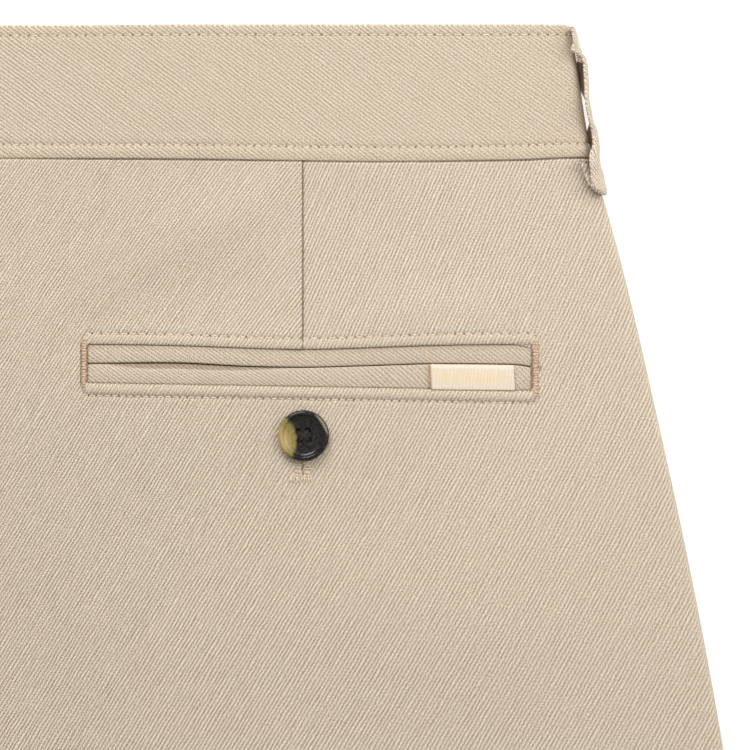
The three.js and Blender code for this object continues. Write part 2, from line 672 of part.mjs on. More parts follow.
/** One welt of a back pocket: its flange lies under the panel, its roll fills half of the window. */
function welt(side, isUpper) {
  const { under, clear, bend, flange } = WELT;
  const ends = [POCKET.left - under, POCKET.left + clear, POCKET.left + clear + bend];
  const otherEnds = [POCKET.right - clear - bend, POCKET.right - clear, POCKET.right + under];
  const columns = [...ends, 85, 100, 115, DART.x, 154, 172, 188, ...otherEnds];
  // Across the welt, from the flange's edge to the mouth: share of the roll's width, distance added
  // beyond it, and how far the face is sunk below the panel's own face.
  const profile = [
    { share: 0, beyond: -under, sunk: flange },
    { share: 0, beyond: clear, sunk: flange },
    { share: 0, beyond: clear + bend, sunk: WELT.sunk + 0.3 },
    { share: 0.35, beyond: 0, sunk: WELT.sunk },
    { share: 0.75, beyond: 0, sunk: WELT.sunk + 0.05 },
    { share: 1, beyond: -0.35, sunk: WELT.sunk + 0.45 },
    { share: 1, beyond: -GAP / 2, sunk: flange },
  ];
  const outer = [];
  const inner = [];
  for (const { share, beyond, sunk } of profile) {
    const outerRow = [];
    const innerRow = [];
    for (const x of columns) {
      const edges = pocketEdges(Math.min(POCKET.right, Math.max(POCKET.left, x)));
      const edge = isUpper ? edges.top : edges.bottom;
      const inward = isUpper ? 1 : -1;
      const drop = lerp(edge, edges.mouth, share) + inward * beyond;
      const inWindow = x > POCKET.left + clear + bend / 2 && x < POCKET.right - clear - bend / 2;
      const level = backHeight(side * x, drop);
      outerRow.push(at(side * x, drop, level - (inWindow ? sunk : flange)));
      innerRow.push(at(side * x, drop, level - flange - CLOTH));
    }
    outer.push(outerRow);
    inner.push(innerRow);
  }
  return wall(outer, inner);
}

/** Ribbon tab of the right pocket: it comes up out of the mouth and lies on the lower welt. */
function pocketTab() {
  // Down the tab: share of its length, and height of its outer face above the lower welt's face.
  const profile = [
    { share: 0, rise: GAP + TAB.wall - 0.1 },
    { share: 0.15, rise: GAP + TAB.wall },
    { share: 0.6, rise: GAP + TAB.wall },
    { share: 1, rise: GAP + TAB.wall },
  ];
  const outer = [];
  const inner = [];
  for (const { share, rise } of profile) {
    const drop = lerp(TAB.top, TAB.bottom, share);
    const columns = span(TAB.left, TAB.right, 3);
    const level = (x) => backHeight(x, drop) - WELT.sunk + 0.15 + 0.35 * share;
    outer.push(columns.map((x) => at(x, drop, level(x) + rise)));
    inner.push(columns.map((x) => at(x, drop, level(x) + rise - TAB.wall)));
  }
  return wall(outer, inner);
}

// ---------------------------------------------------------------- buttons

/** Sew-through button: a dished face in a raised rim, with four holes. Its back is at height 0. */
function button() {
  const { radius, thick, holeRadius, holePitch } = BUTTON;
  const profile = [
    [0, 0], [radius - 1.2, 0], [radius, 0.9], [radius, thick - 0.7], [radius - 0.6, thick],
    [radius - 1.6, thick - 0.1], [radius - 2.4, thick - 0.8], [0, thick - 0.9],
  ].map(([across, up]) => new THREE.Vector2(across, up));
  const disc = new THREE.LatheGeometry(profile, 26).rotateX(Math.PI / 2);
  const hole = new THREE.Shape().absarc(0, 0, holeRadius, 0, 2 * Math.PI);
  const holes = [[1, 1], [-1, 1], [-1, -1], [1, -1]].map(([right, up]) => new THREE.ExtrudeGeometry(
    hole, { depth: thick + 2, bevelEnabled: false, curveSegments: 4 },
  ).translate(right * holePitch / 2, up * holePitch / 2, -1));
  return cut(facingOutAgain(disc), holes);
}

/** The same geometry with its doubled points merged and its faces turned outwards. */
function facingOutAgain(geometry) {
  const plain = geometry.clone();
  plain.deleteAttribute('normal');
  plain.deleteAttribute('uv');
  const merged = mergeVertices(plain, 1e-4);
  const positions = merged.attributes.position;
  const points = Array.from({ length: positions.count },
    (_, i) => new THREE.Vector3().fromBufferAttribute(positions, i));
  const triangles = [];
  const index = merged.index.array;
  for (let i = 0; i < index.length; i += 3) {
    const [a, b, c] = [index[i], index[i + 1], index[i + 2]];
    if (a !== b && b !== c && a !== c) triangles.push(a, b, c);
  }
  return facingOut(points, triangles);
}

// ---------------------------------------------------------------- materials and the whole

const twill = new THREE.MeshStandardMaterial({ color: 0xd2c1ad, roughness: 0.9, metalness: 0 });
const ribbon = new THREE.MeshStandardMaterial({ color: 0xf2e6d4, roughness: 0.75, metalness: 0 });
const horn = new THREE.MeshStandardMaterial({ color: 0x2e2a29, roughness: 0.35, metalness: 0 });
const zipMetal = new THREE.MeshStandardMaterial({ color: 0xb99a5b, roughness: 0.4, metalness: 1 });

const group = new THREE.Group();

/** Adds a named piece, placed by its own position and turned about its upright axis. */
function add(name, geometry, material, place = {}) {
  const mesh = new THREE.Mesh(geometry, material);
  mesh.name = name;
  if (place.position) mesh.position.copy(place.position);
  if (place.turn) mesh.rotation.z = place.turn;
  group.add(mesh);
}

for (const [name, side] of [['right', 1], ['left', -1]]) {
  add(`back_${name}`, backPanel(side), twill);
  add(`front_${name}`, frontPanel(side), twill);
  add(`front_pocket_facing_${name}`, slantFacing(side), twill);
  add(`waistband_${name}`, bandHalf(side), twill);
  add(`back_pocket_upper_welt_${name}`, welt(side, true), twill);
  add(`back_pocket_lower_welt_${name}`, welt(side, false), twill);
  add(`back_pocket_button_${name}`, button(), horn, {
    position: at(side * BUTTON.x, BUTTON.drop, backHeight(side * BUTTON.x, BUTTON.drop) + 1.5 * GAP),
    turn: radians(6),
  });
  add(`belt_loop_side_${name}`, sideLoop(side), twill);
  add(`belt_loop_front_${name}`, frontLoop(side), twill);
}
add('belt_loop_centre_back', backLoop(), twill);
add('back_pocket_tab', pocketTab(), ribbon);
add('fly_zip', zip(), twill);
add('fly_zip_slider', zipSlider(), zipMetal, {
  position: at(SLIDER.x, SLIDER.top, CLOTH + GAP),
});
add('fly_shield', flyShield(), twill);
add('waist_button', button().rotateX(Math.PI), horn, {
  position: at(0, WAIST_BUTTON.drop + FRONT_DIP, BUTTON.thick),
});

export default group;
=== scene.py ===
"""Chino shorts, laid flat with the back upwards: cloth, sewing, buttons, zip, light and camera.

Sizes are in millimetres until a mesh is made. X is the wearer's right, a "drop" is a distance down from
the top edge of the waistband at the back, and z is the height above the surface that the shorts lie on.
"""

import json
import math

import bpy
import numpy as np
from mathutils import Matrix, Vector

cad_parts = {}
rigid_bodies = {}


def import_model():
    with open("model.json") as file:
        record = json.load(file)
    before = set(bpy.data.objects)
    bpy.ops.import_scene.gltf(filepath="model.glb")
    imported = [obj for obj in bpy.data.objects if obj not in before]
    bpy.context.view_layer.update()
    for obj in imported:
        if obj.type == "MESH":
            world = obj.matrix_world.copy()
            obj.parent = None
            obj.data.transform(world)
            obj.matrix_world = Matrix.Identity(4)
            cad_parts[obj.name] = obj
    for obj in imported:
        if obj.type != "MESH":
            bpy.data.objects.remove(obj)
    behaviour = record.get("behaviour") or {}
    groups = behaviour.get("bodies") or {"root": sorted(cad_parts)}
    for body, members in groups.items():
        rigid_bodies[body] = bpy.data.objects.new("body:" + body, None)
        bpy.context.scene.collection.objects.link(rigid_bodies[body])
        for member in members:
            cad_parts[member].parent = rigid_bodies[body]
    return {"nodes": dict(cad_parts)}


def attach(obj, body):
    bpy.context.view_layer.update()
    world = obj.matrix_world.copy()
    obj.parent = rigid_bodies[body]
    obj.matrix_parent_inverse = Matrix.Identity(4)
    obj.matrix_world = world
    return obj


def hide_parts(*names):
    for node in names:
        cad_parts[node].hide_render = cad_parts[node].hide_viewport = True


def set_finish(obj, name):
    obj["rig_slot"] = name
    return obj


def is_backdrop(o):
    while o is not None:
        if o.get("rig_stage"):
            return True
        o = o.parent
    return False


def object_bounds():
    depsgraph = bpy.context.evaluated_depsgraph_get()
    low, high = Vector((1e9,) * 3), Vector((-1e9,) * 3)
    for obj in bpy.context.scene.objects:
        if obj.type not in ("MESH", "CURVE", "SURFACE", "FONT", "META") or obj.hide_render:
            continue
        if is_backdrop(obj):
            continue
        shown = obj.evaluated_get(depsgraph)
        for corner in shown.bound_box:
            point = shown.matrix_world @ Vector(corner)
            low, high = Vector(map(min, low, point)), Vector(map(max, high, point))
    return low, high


for leftover in list(bpy.data.objects):
    bpy.data.objects.remove(leftover)

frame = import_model()

# ---------------------------------------------------------------- sizes

MM = 0.001
low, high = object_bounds()
TOP = high.y / MM
LENGTH = (high.y - low.y) / MM

TURN = 2 * math.pi
QUARTER = math.pi / 2
SIDE_NAMES = {1: "right", -1: "left"}

# Cloth and legs.
GAP = 0.3
CLOTH = 0.8
BACK_HEIGHT = 5.0
SEAM_RISE = 2.2
FOLD = 3.0
CROTCH = 285.0
CROTCH_TURN = 22.0
FRONT_DIP = 6.0

# Hem: its depth, its rise to the side, where its row of stitches starts, and its relief.
HEM_DEEP = 38.0
HEM_RISE = 18.0
HEM_START = 10.0
HEM_LONG = 280.0
HEM_STEP = 0.28
HEM_GROOVE = 0.15

# Waistband: its section and rows of stitches, then its relief, the sag of its seam, and the cloth below.
BAND_DEEP = 40.0
BAND_WALL = 1.6
BAND_FOLD = 3.4
BAND_TOP_HALF = 214.3
BAND_SEAM_HALF = 220.3
BAND_HEIGHT = 6.3
BAND_STITCH_TOP = 3.2
BAND_STITCH_SEAM = 35.8
BAND_PUFF_TOP = 0.12
BAND_PUFF_SEAM = 0.30
BAND_LIFT = 1.05
BAND_LIFT_REACH = 14.0
SAG_POCKET = 0.95
SAG_MIDDLE = 158.0
SAG_WIDE = 45.0
SAG_REST = 0.3
SAG_SIDE = 0.45
SEAM_TUCK = 0.9
SEAM_RIPPLE = 0.045

# Lap in front: how far each half reaches past the centre, where the right one climbs on to it, and how
# far it climbs.
LAP = {1: 30.0, -1: 12.0}
LAP_CLIMB = (36.0, 13.5)
LAP_UNDER = 1.9

# Fly, its shield and its zip; heights are above the face of the front.
FLY_LAP = 10.0
FLY_END = 205.0
FLY_CURVE = 20.0
FLY_SETTLE = 18.0
FLY_STITCH = 32.0
FLY_STITCH_END = 4.0
FLY_BEND = 30.0
FLY_THICK = 1.3
FLY_UNDER_BACK = (60.0, 25.0)
LAP_END = FLY_END + FLY_CURVE + FLY_SETTLE
LAP_FADE_FRONT = 20.0
LAP_FADE_BACK = 30.0
SHIELD_LEFT = 22.0
SHIELD_RIGHT = 16.0
SHIELD_END = 215.0
ZIP_LEFT = 13.0
ZIP_RIGHT = 12.0
ZIP_TOP = 58.0
ZIP_END = 205.0
CHAIN_MIDDLE = -5.0
CHAIN_TOP = 70.3
CHAIN_HEIGHT = 2.35
TOOTH = (1.9, 0.85, 0.8)
TOOTH_PITCH = 1.5
TOOTH_ASIDE = 0.7
TAPE_HEIGHT = 2.75
TAPE_THICK = 0.6
SHIELD_HEIGHT = 3.9
SHIELD_THICK = 0.8

# Window of a back pocket and its welts, as distances from the centre line and drops.
POCKET_LEFT = 70.6
POCKET_RIGHT = 202.4
POCKET_TOP = 94.9
POCKET_BOTTOM = 106.3
POCKET_SLOPE = 0.0172
POCKET_DIP = 1.5
POCKET_REACH = 32.0
POCKET_CORNER = 1.1
POCKET_CORNER_ENDS = (195.0, 202.6)
WELT_SUNK = 0.35
WELT_FLANGE = 1.6
WELT_WIDE = 5.5
WELT_STEP = 0.12

# Lips of a pocket's mouth: their distances above and below its line, how much further the lower one lies
# where it gapes, and the stretches over which the gape grows and goes.
LIP_UPPER = 0.14
LIP_LOWER = 0.18
LIP_GAPE = 1.6
GAPE_INNER = (71.0, 90.0)
GAPE_OUTER = (137.0, 103.0)

# Rim of a pocket's window: how far out its stitches lie, and its relief above the window and below it.
RIM = 3.3
RIM_LOW = 3.8
RIM_END = 2.1
RIM_TURN = math.pi / 4 * (RIM + RIM_END)
RIM_LEVELS = (101.0, 105.0)
RIM_ROLL = (0.42, 0.62)
RIM_LEAN = (1.0, 1.3)
RIM_EDGE = (-0.30, -0.1)
RIM_GROOVE = (-0.16, -0.12)

# Dart above a back pocket.
DART_X = 134.4
DART_TIP = 100.0
DART_TAKEN = 14.0
DART_PROUD = 0.24
DART_DIP = 0.32
DART_ROLL = 0.12
DART_SEAM_END = 99.0

# Ribbon tab.
TAB_LEFT = 172.3
TAB_RIGHT = 197.3
TAB_WIDE = 25.0
TAB_DEEP = 7.4
TAB_THICK = 0.62
TAB_TOP = 100.9
TAB_BOTTOM = 108.2

# Slanted mouth of a front pocket, and the facing behind it.
SLANT_INSET = 48.0
SLANT_END = 185.0
SLANT_STOP = 1.5
SLANT_UNDER = 12.0
SLANT_LEAN = math.hypot(1, 0.55)
SLANT_STITCHES = (1.5, 6.5)
SLANT_CLOSES = (178.0, 190.0)
FACING_THICK = 0.7

# Buttons, and the buttonholes below the pockets.
BUTTON_RADIUS = 7.6
BUTTON_THICK = 2.4
BUTTON_HOLE = 0.75
BUTTON_PITCH = 2.9
BUTTON_X = 134.7
BUTTON_DROP = 122.0
BUTTON_TURN = 6.0
SLIT_DARK = (115.0, 134.5)
SLIT_END = 133.9
WAIST_BUTTON_DROP = 20.0

# What lies over the fastened waist button is lifted: how far out it is flat, how far the lift reaches in
# front and at the back, and how high it is.
BUTTON_FLAT = 10.5
BUTTON_REACH_FRONT = 23.0
BUTTON_REACH_BACK = 38.0
WAIST_BUTTON_LIFT = 2.82
BAND_BUTTON_LIFT = 2.2

# Belt loops, and how far beside and below a front loop the cloth over it is lifted.
LOOP_WIDE = 8.8
LOOP_FRONT_X = 95.0
LOOP_LIFT = 2.7
LOOP_LIFT_BESIDE = (30.0, 9.0)
LOOP_LIFT_BELOW = (82.0, 53.0)
LOOP_ON_LEG = (36.0, 40.0)
LOOP_OFF_BAND = (41.5, 44.5)
LOOP_TUCK = 2.2
LEG_REACH = 3.2

# Distance given to a point that lies near no row of stitches or seam, and what is added to the distance
# from one where it doesn't run.
FAR = 20.0
ABSENT = 9.0

# Outline of one leg: drop, half width of the shorts.
SIDE = [
    (40, 220.5), (60, 226.6), (80, 231.8), (110, 238.7), (150, 247.5), (190, 255.4),
    (230, 262.3), (290, 271.4), (350, 279.4), (410, 286.3), (488, 294.0),
]

# Inner edge of one leg: drop, distance from the centre line.
INSIDE = [(CROTCH, 0), (300, 1.6), (340, 4.4), (400, 7.4), (488, 10.6)]

# Mouth of a back pocket between its welts: distance from the centre line, drop of the mouth.
MOUTH = [
    (70.6, 100.6), (97.0, 100.4), (117.0, 101.4), (134.4, 101.75), (154.0, 101.25),
    (163.0, 100.95), (172.0, 100.7), (197.0, 100.9), (202.4, 101.6),
]

# Soft folds in the upper cloth: x, drop, half length along the fold, half width across it, turn from
# the X axis in degrees, height.
FOLDS = [
    (54, 95, 66, 12, 88, 0.8),
    (98, 63, 34, 10, 25, 0.85),
    (106, 80, 34, 9, 25, -0.6),
    (100, 110, 46, 24, 0, 1.4),
    (160, 47, 28, 20, 0, 0.55),
    (175, 91, 25, 9, 3, 0.5),
    (166, 176, 48, 30, -6, 1.5),
    (122, 70, 24, 11, 8, 0.4),
    (98, 56, 26, 9, 0, 0.3),
    (206, 150, 50, 18, 68, 0.5),
    (92, 205, 60, 24, 64, -0.5),
    (196, 236, 60, 24, 118, -0.5),
    (130, 320, 80, 26, 96, 0.6),
    (222, 372, 70, 24, 78, -0.5),
    (58, 395, 60, 20, 84, -0.5),
    (-62, 104, 62, 13, 97, 0.75),
    (-108, 60, 30, 10, 156, 0.75),
    (-116, 78, 32, 9, 150, -0.55),
    (-96, 122, 34, 26, 172, 0.9),
    (-178, 54, 26, 16, 4, 0.45),
    (-150, 168, 46, 28, 14, 1.0),
    (-210, 190, 52, 20, 110, 0.5),
    (-84, 226, 64, 24, 118, -0.5),
    (-150, 300, 74, 26, 80, 0.55),
    (-232, 350, 66, 22, 104, -0.5),
    (-70, 380, 62, 22, 98, -0.5),
]

# Smaller creases, in the same columns.
CREASES = [
    (104, 70, 34, 5, 27, -0.31),
    (116, 58, 16, 6, 40, 0.28),
    (78, 88, 20, 5, 30, -0.22),
    (131, 53, 10, 5, 80, -0.2),
    (162, 62, 22, 9, 150, -0.28),
    (176, 84, 24, 5, 6, 0.25),
    (120, 126, 15, 5, 62, -0.28),
    (160, 122, 18, 8, 58, 0.31),
    (191, 150, 18, 7, 62, 0.28),
    (80, 130, 26, 8, 48, 0.25),
    (98, 165, 30, 9, 56, -0.31),
    (150, 182, 34, 10, 66, 0.28),
    (215, 120, 34, 7, 76, -0.25),
    (228, 170, 40, 8, 78, 0.25),
    (60, 180, 34, 9, 80, -0.28),
    (112, 250, 46, 12, 70, 0.35),
    (206, 262, 44, 12, 96, 0.35),
    (60, 300, 40, 12, 66, 0.42),
    (166, 404, 60, 12, 88, -0.42),
    (248, 440, 40, 10, 80, 0.35),
    (-96, 66, 30, 6, 152, 0.28),
    (-150, 60, 22, 8, 24, -0.28),
    (-120, 128, 16, 6, 116, -0.28),
    (-188, 92, 24, 6, 176, 0.25),
    (-150, 150, 26, 9, 120, 0.31),
    (-70, 158, 32, 9, 104, -0.28),
    (-218, 146, 36, 8, 102, -0.28),
    (-120, 200, 40, 11, 116, 0.31),
    (-190, 262, 46, 12, 84, -0.35),
    (-96, 320, 46, 12, 108, 0.35),
    (-168, 396, 60, 13, 92, -0.42),
    (-250, 430, 40, 10, 100, 0.35),
]

# Slow unevenness of the waistband's face, in the same columns.
BAND_FOLDS = [
    (52, 18, 16, 7, 60, -0.12),
    (96, 26, 26, 6, 12, 0.1),
    (150, 14, 30, 7, 170, -0.1),
    (188, 24, 18, 8, 80, 0.1),
    (-60, 20, 18, 8, 110, -0.12),
    (-120, 24, 26, 7, 168, 0.1),
    (-180, 16, 24, 8, 20, -0.1),
]

# Course of a drop loop from its caught end to its tacked end: drop, height of the loop's middle above
# what it lies on.
LOOP_COURSE = [
    (40.6, 0.8), (44.5, 0.8), (48.2, 0.82), (49.1, 0.86), (49.65, 1.08), (49.88, 1.56),
    (49.65, 2.04), (49.1, 2.26), (46.5, 2.3), (41.0, 2.3), (33.0, 2.1), (24.0, 1.95),
    (15.0, 2.0), (7.0, 2.2), (3.9, 2.24), (3.2, 2.2), (2.68, 2.0), (2.45, 1.5),
    (2.68, 1.02), (3.2, 0.84), (5.0, 0.8), (9.5, 0.8),
]

# Course of the loop on the side fold: drop, height of the strip's middle above the fold, its lean from
# upright in degrees, how far it has slid up along its width, and how much it is bent across, per mm.
SIDE_COURSE = [
    (40.9, 0.85, 31, 1.6, 0.20), (44.5, 0.85, 32, 1.7, 0.19), (48.0, 0.86, 33, 2.2, 0.16),
    (49.2, 0.92, 34, 2.6, 0.14), (49.8, 1.14, 34, 2.8, 0.13), (50.02, 1.58, 34, 2.8, 0.13),
    (49.8, 2.02, 34, 2.8, 0.13), (49.2, 2.22, 34, 2.8, 0.13), (46.5, 2.3, 32, 2.5, 0.13),
    (42.5, 2.6, 25, 2.0, 0.14), (38.6, 2.75, 14, 2.1, 0.22), (35.5, 2.65, -3, 2.0, 0.25),
    (32.0, 2.5, -6, 2.0, 0.24), (30.0, 2.3, 1, 2.0, 0.16), (27.5, 2.15, 10, 2.0, 0.06),
    (24.5, 1.98, 11, 2.0, 0.03), (21.6, 1.9, 5, 2.0, 0.08), (17.8, 1.9, -7, 2.0, 0.17),
    (14.0, 2.25, -9, 2.0, 0.19), (11.0, 2.4, -9, 2.0, 0.19), (9.3, 2.2, 2, 1.9, 0.15),
    (8.0, 1.8, 24, 1.8, 0.06), (6.2, 1.3, 16, 1.7, 0.02), (4.6, 1.1, 12, 1.6, 0.02),
    (2.8, 1.0, 11, 1.6, 0.02), (1.0, 0.9, 10, 1.6, 0.02),
]

# Spacing of the stitches in each row, the gap between two of them, and the radius of the thread.
PITCH_BAND_TOP = 2.8
PITCH_BAND_SEAM = 2.4
PITCH_RIM_TOP = 2.7
PITCH_RIM_BOTTOM = 2.25
PITCH_HEM = 3.0
STITCH_GAP = 0.6
BAND_ROWS = ((BAND_STITCH_TOP, PITCH_BAND_TOP), (BAND_STITCH_SEAM, PITCH_BAND_SEAM))
BAND_THREAD = 0.16
BACK_THREAD = 0.17
FRONT_THREAD = 0.15

# Wales of the twill: their distance from one another, and their angle in degrees on each kind of piece.
WALE_PITCH = 0.97
BACK_WALES = 53.0
FRONT_WALES = 60.0
STRIP_WALES = 143.0
LOOP_WALES = 128.0
WALES_DRAWN = 20.0
WALES_REACH = 110.0

# Knotted threads beside the side loop: drop, height, half of how far each slants.
KNOT_THREADS = [(8.7, 7.3, 0.3), (9.2, 7.5, -0.3), (9.7, 7.6, -0.5), (10.2, 7.9, 0.2),
                (10.7, 7.7, -0.2), (11.1, 7.4, 0.4)]

# ---------------------------------------------------------------- small functions


def ease(value, start, end):
    """Smooth 0 to 1 as a value goes from one end to the other: 3t squared less 2t cubed."""
    t = np.clip((value - start) / (end - start), 0.0, 1.0)
    return t * t * (3 - 2 * t)


def mix(a, b, t):
    """Point a share t of the way from a to b."""
    return a + (b - a) * t


def hump(away, wide):
    """Bell curve: e to the minus square of a distance over a width."""
    return np.exp(-((away / wide) ** 2))


def cos_sin(degrees):
    """Cosine and sine of an angle in degrees."""
    return math.cos(math.radians(degrees)), math.sin(math.radians(degrees))


def along(rows, at):
    """Smooth curve through rows of (place, value): cubics, with slopes taken from the neighbours."""
    places, values = np.array(rows, dtype=float).T
    at = np.asarray(at, dtype=float)
    i = np.clip(np.searchsorted(places, at) - 1, 0, len(places) - 2)
    before = np.maximum(i - 1, 0)
    after = np.minimum(i + 2, len(places) - 1)
    run = places[i + 1] - places[i]
    t = (at - places[i]) / run
    slope_a = (values[i + 1] - values[before]) / (places[i + 1] - places[before]) * run
    slope_b = (values[after] - values[i]) / (places[after] - places[i]) * run
    return (values[i] * (2 * t**3 - 3 * t**2 + 1) + slope_a * (t**3 - 2 * t**2 + t)
            + values[i + 1] * (3 * t**2 - 2 * t**3) + slope_b * (t**3 - t**2))


def steps(*stops):
    """Rising numbers from (value, step) pairs: each value to the next in even parts near its step."""
    parts = []
    for (a, step), (b, _) in zip(stops[:-1], stops[1:]):
        count = max(1, round((b - a) / step))
        parts.append(np.linspace(a, b, count, endpoint=False))
    return np.append(np.concatenate(parts), stops[-1][0])


def unit(vectors):
    """Vectors of length one, in the same directions."""
    return vectors / np.linalg.norm(vectors, axis=-1, keepdims=True)


def run_along(path):
    """Distance along a path from its start to each of its points."""
    return np.concatenate([[0], np.cumsum(np.linalg.norm(np.diff(path, axis=0), axis=1))])


def place(x, drop, z):
    """Points in metres from an X, a drop and a height."""
    x, drop, z = np.broadcast_arrays(x, drop, z)
    return np.stack([x, TOP - drop, z], axis=-1) * MM


# ---------------------------------------------------------------- the laid shape


def side_at(drop):
    """Half width of the shorts at a drop."""
    return along(SIDE, drop)


def inside_at(drop):
    """Distance of a leg's inner edge from the centre line."""
    return GAP / 2 + np.where(drop > CROTCH, along(INSIDE, drop), 0.0)


def inseam_turn(drop):
    """How far the inner edge has rounded under: 0 above the crotch, 1 along the inseam."""
    return ease(drop, CROTCH - CROTCH_TURN, CROTCH)


def over_button(x, drop, reach):
    """Lift of what lies over the fastened waist button, 0 to 1, gone within a reach."""
    return ease(np.hypot(x, drop - WAIST_BUTTON_DROP - FRONT_DIP), reach, BUTTON_FLAT)


def front_lift(x, drop):
    """Height of the front's outer face: it rises over the button and over the front loops."""
    beside = np.abs(np.abs(x) - LOOP_FRONT_X)
    over_loop = ease(beside, *LOOP_LIFT_BESIDE) * ease(drop, *LOOP_LIFT_BELOW)
    over = over_button(x, drop + FRONT_DIP, BUTTON_REACH_FRONT)
    return WAIST_BUTTON_LIFT * over + LOOP_LIFT * over_loop


def fly_step(x, drop, step):
    """Height that the right front adds near the centre, where it lies on the left one's lap."""
    return step * ease(x, *LAP_CLIMB) * ease(drop, LAP_END + LAP_FADE_FRONT, LAP_END)


def folds_at(rows, x, drop):
    """Sum of soft folds: each is a long bell curve, turned from the X axis."""
    rise = np.zeros(np.broadcast(x, drop).shape)
    for fold_x, fold_drop, long, wide, turn, height in rows:
        c, s = cos_sin(turn)
        right = x - fold_x
        up = fold_drop - drop
        rise = rise + height * hump(right * c + up * s, long) * hump(up * c - right * s, wide)
    return rise


def back_height(x, drop):
    """Height of the back's outer face, without its sewing: fuller over the fly, with its soft folds."""
    over_fly = ease(np.abs(x), *FLY_UNDER_BACK) * ease(drop, LAP_END + LAP_FADE_BACK, LAP_END)
    under_band = BAND_LIFT * np.exp(-(drop - BAND_DEEP) / BAND_LIFT_REACH)
    lift = over_button(x, drop, BUTTON_REACH_BACK)
    return BACK_HEIGHT + FLY_THICK * over_fly + lift + under_band + folds_at(FOLDS, x, drop)


def seam_sag(x):
    """How far the waist seam lies below a straight line: it sags over the pocket, lifts at the side."""
    away = np.abs(x)
    over_pocket = SAG_POCKET * hump(away - SAG_MIDDLE, SAG_WIDE)
    return over_pocket - SAG_REST - SAG_SIDE * ease(away, 198.0, 214.0)


def band_height(x, drop):
    """Height of the waistband's outer face at the back."""
    return BAND_HEIGHT + BAND_BUTTON_LIFT * over_button(x, drop, BUTTON_REACH_BACK)


def window_top(x):
    """Drop of a pocket window's upper edge: it dips where the dart pulls on it."""
    return POCKET_TOP + POCKET_DIP * hump(np.abs(x) - DART_X, POCKET_REACH)


def window_edge(x):
    """Drop of the window's upper edge with its rounded corner at the side."""
    return window_top(x) + POCKET_CORNER * ease(np.abs(x), *POCKET_CORNER_ENDS) ** 2


def window_bottom(x):
    """Drop of a pocket window's lower edge: it slopes down a little towards the side."""
    return POCKET_BOTTOM + POCKET_SLOPE * (np.abs(x) - POCKET_LEFT)


def mouth_at(x):
    """Drop of a pocket's mouth, between its welts."""
    return along(MOUTH, np.abs(x))


def hem_line(x):
    """Drop of the hem's row of stitches: the hem's depth above the lowest edge, rising to the side."""
    share = (np.abs(x) - HEM_START) / HEM_LONG
    return LENGTH - HEM_DEEP - HEM_RISE * share


def slant_at(drop):
    """Distance of a slanted front pocket's mouth from the centre line."""
    start = side_at(BAND_DEEP) - SLANT_INSET
    end = side_at(SLANT_END) - SLANT_STOP
    return mix(start, end, (drop - BAND_DEEP) / (SLANT_END - BAND_DEEP))


def rim_sides(x, drop):
    """Distances past a pocket window's ends and its long edges, stretched to the rim's upper width."""
    away = np.abs(x)
    ends = np.maximum(POCKET_LEFT - away, away - POCKET_RIGHT) * RIM / RIM_END
    rows = np.maximum(window_top(x) - drop, (drop - window_bottom(x)) * RIM / RIM_LOW)
    return ends, rows


def rim_off(x, drop):
    """Distance out from a pocket window's edge, round its corners."""
    ends, rows = rim_sides(x, drop)
    return np.hypot(np.maximum(ends, 0), np.maximum(rows, 0)) + np.minimum(np.maximum(ends, rows), 0)


def rim_run(x, drop):
    """Distance along a pocket's row of stitches, from its first corner to its last."""
    ends, rows = rim_sides(x, drop)
    away = np.abs(x)
    corner = np.arctan2(np.maximum(ends, 0), np.maximum(rows, 0.01)) * (RIM + RIM_END) / 2
    straight = np.clip(away, POCKET_LEFT, POCKET_RIGHT) - POCKET_LEFT
    return straight + np.where(away < DART_X, -corner, corner) + RIM_TURN


def rim_rise(x, drop):
    """Rolled rim of a pocket window: a soft roll between the edge and the stitches, and their groove."""
    off = rim_off(x, drop)
    lower = ease(drop, *RIM_LEVELS)
    full = mix(*RIM_ROLL, lower) * ease(off, 60.0, 50.0)
    lean = np.clip((off + 0.25) / (RIM + 0.1), 0, 1) ** mix(*RIM_LEAN, lower)
    roll = full * np.sin(math.pi * lean) ** 0.8
    edge = mix(*RIM_EDGE, lower) * np.clip(1 - off / 0.4, 0, 1) ** 2
    groove = mix(*RIM_GROOVE, lower) * hump(off - RIM, 0.42)
    beside = 0.1 * hump(off - RIM - 1.3, 0.8)
    return roll + edge + groove + beside


def dart_rise(x, drop):
    """A dart: the cloth nearer the centre stands a little proud, and drops at the seam."""
    away = np.abs(x) - DART_X
    fades = ease(drop, 106.0, 99.0)
    inner = away <= 0.02
    proud = DART_PROUD * ease(away, -8.0, -0.8) * inner
    dip = -DART_DIP * np.exp(-np.abs(away - 0.15) / 1.1) * ~inner
    roll = -DART_ROLL * np.clip(1 + away / 0.4, 0, 1) * inner
    return fades * (proud + dip + roll)


def seam_rise(x, drop):
    """The waist seam: the cloth turns in under the waistband, with small uneven ripples below it."""
    under = -SEAM_TUCK * ease(drop - seam_sag(x), BAND_DEEP + 0.6, BAND_DEEP + 0.1)
    wave = np.sin(x * 0.46 + 1.2 * np.sin(x * 0.051)) + 0.6 * np.sin(x * 0.83 + 2.0)
    return under + SEAM_RIPPLE * wave * hump(drop - BAND_DEEP - 2.5, 4.5)


def hem_rise(x, drop):
    """The turned-up hem: a slight step in the cloth, with a groove along its stitches."""
    off = drop - hem_line(x)
    return HEM_STEP * ease(off, 0.4, 3.0) - HEM_GROOVE * hump(off, 0.7)


def back_face(x, drop):
    """Height of the back's outer face with its creases and sewing."""
    return (back_height(x, drop) + folds_at(CREASES, x, drop) + rim_rise(x, drop)
            + dart_rise(x, drop) + seam_rise(x, drop) + hem_rise(x, drop))


# ---------------------------------------------------------------- making meshes


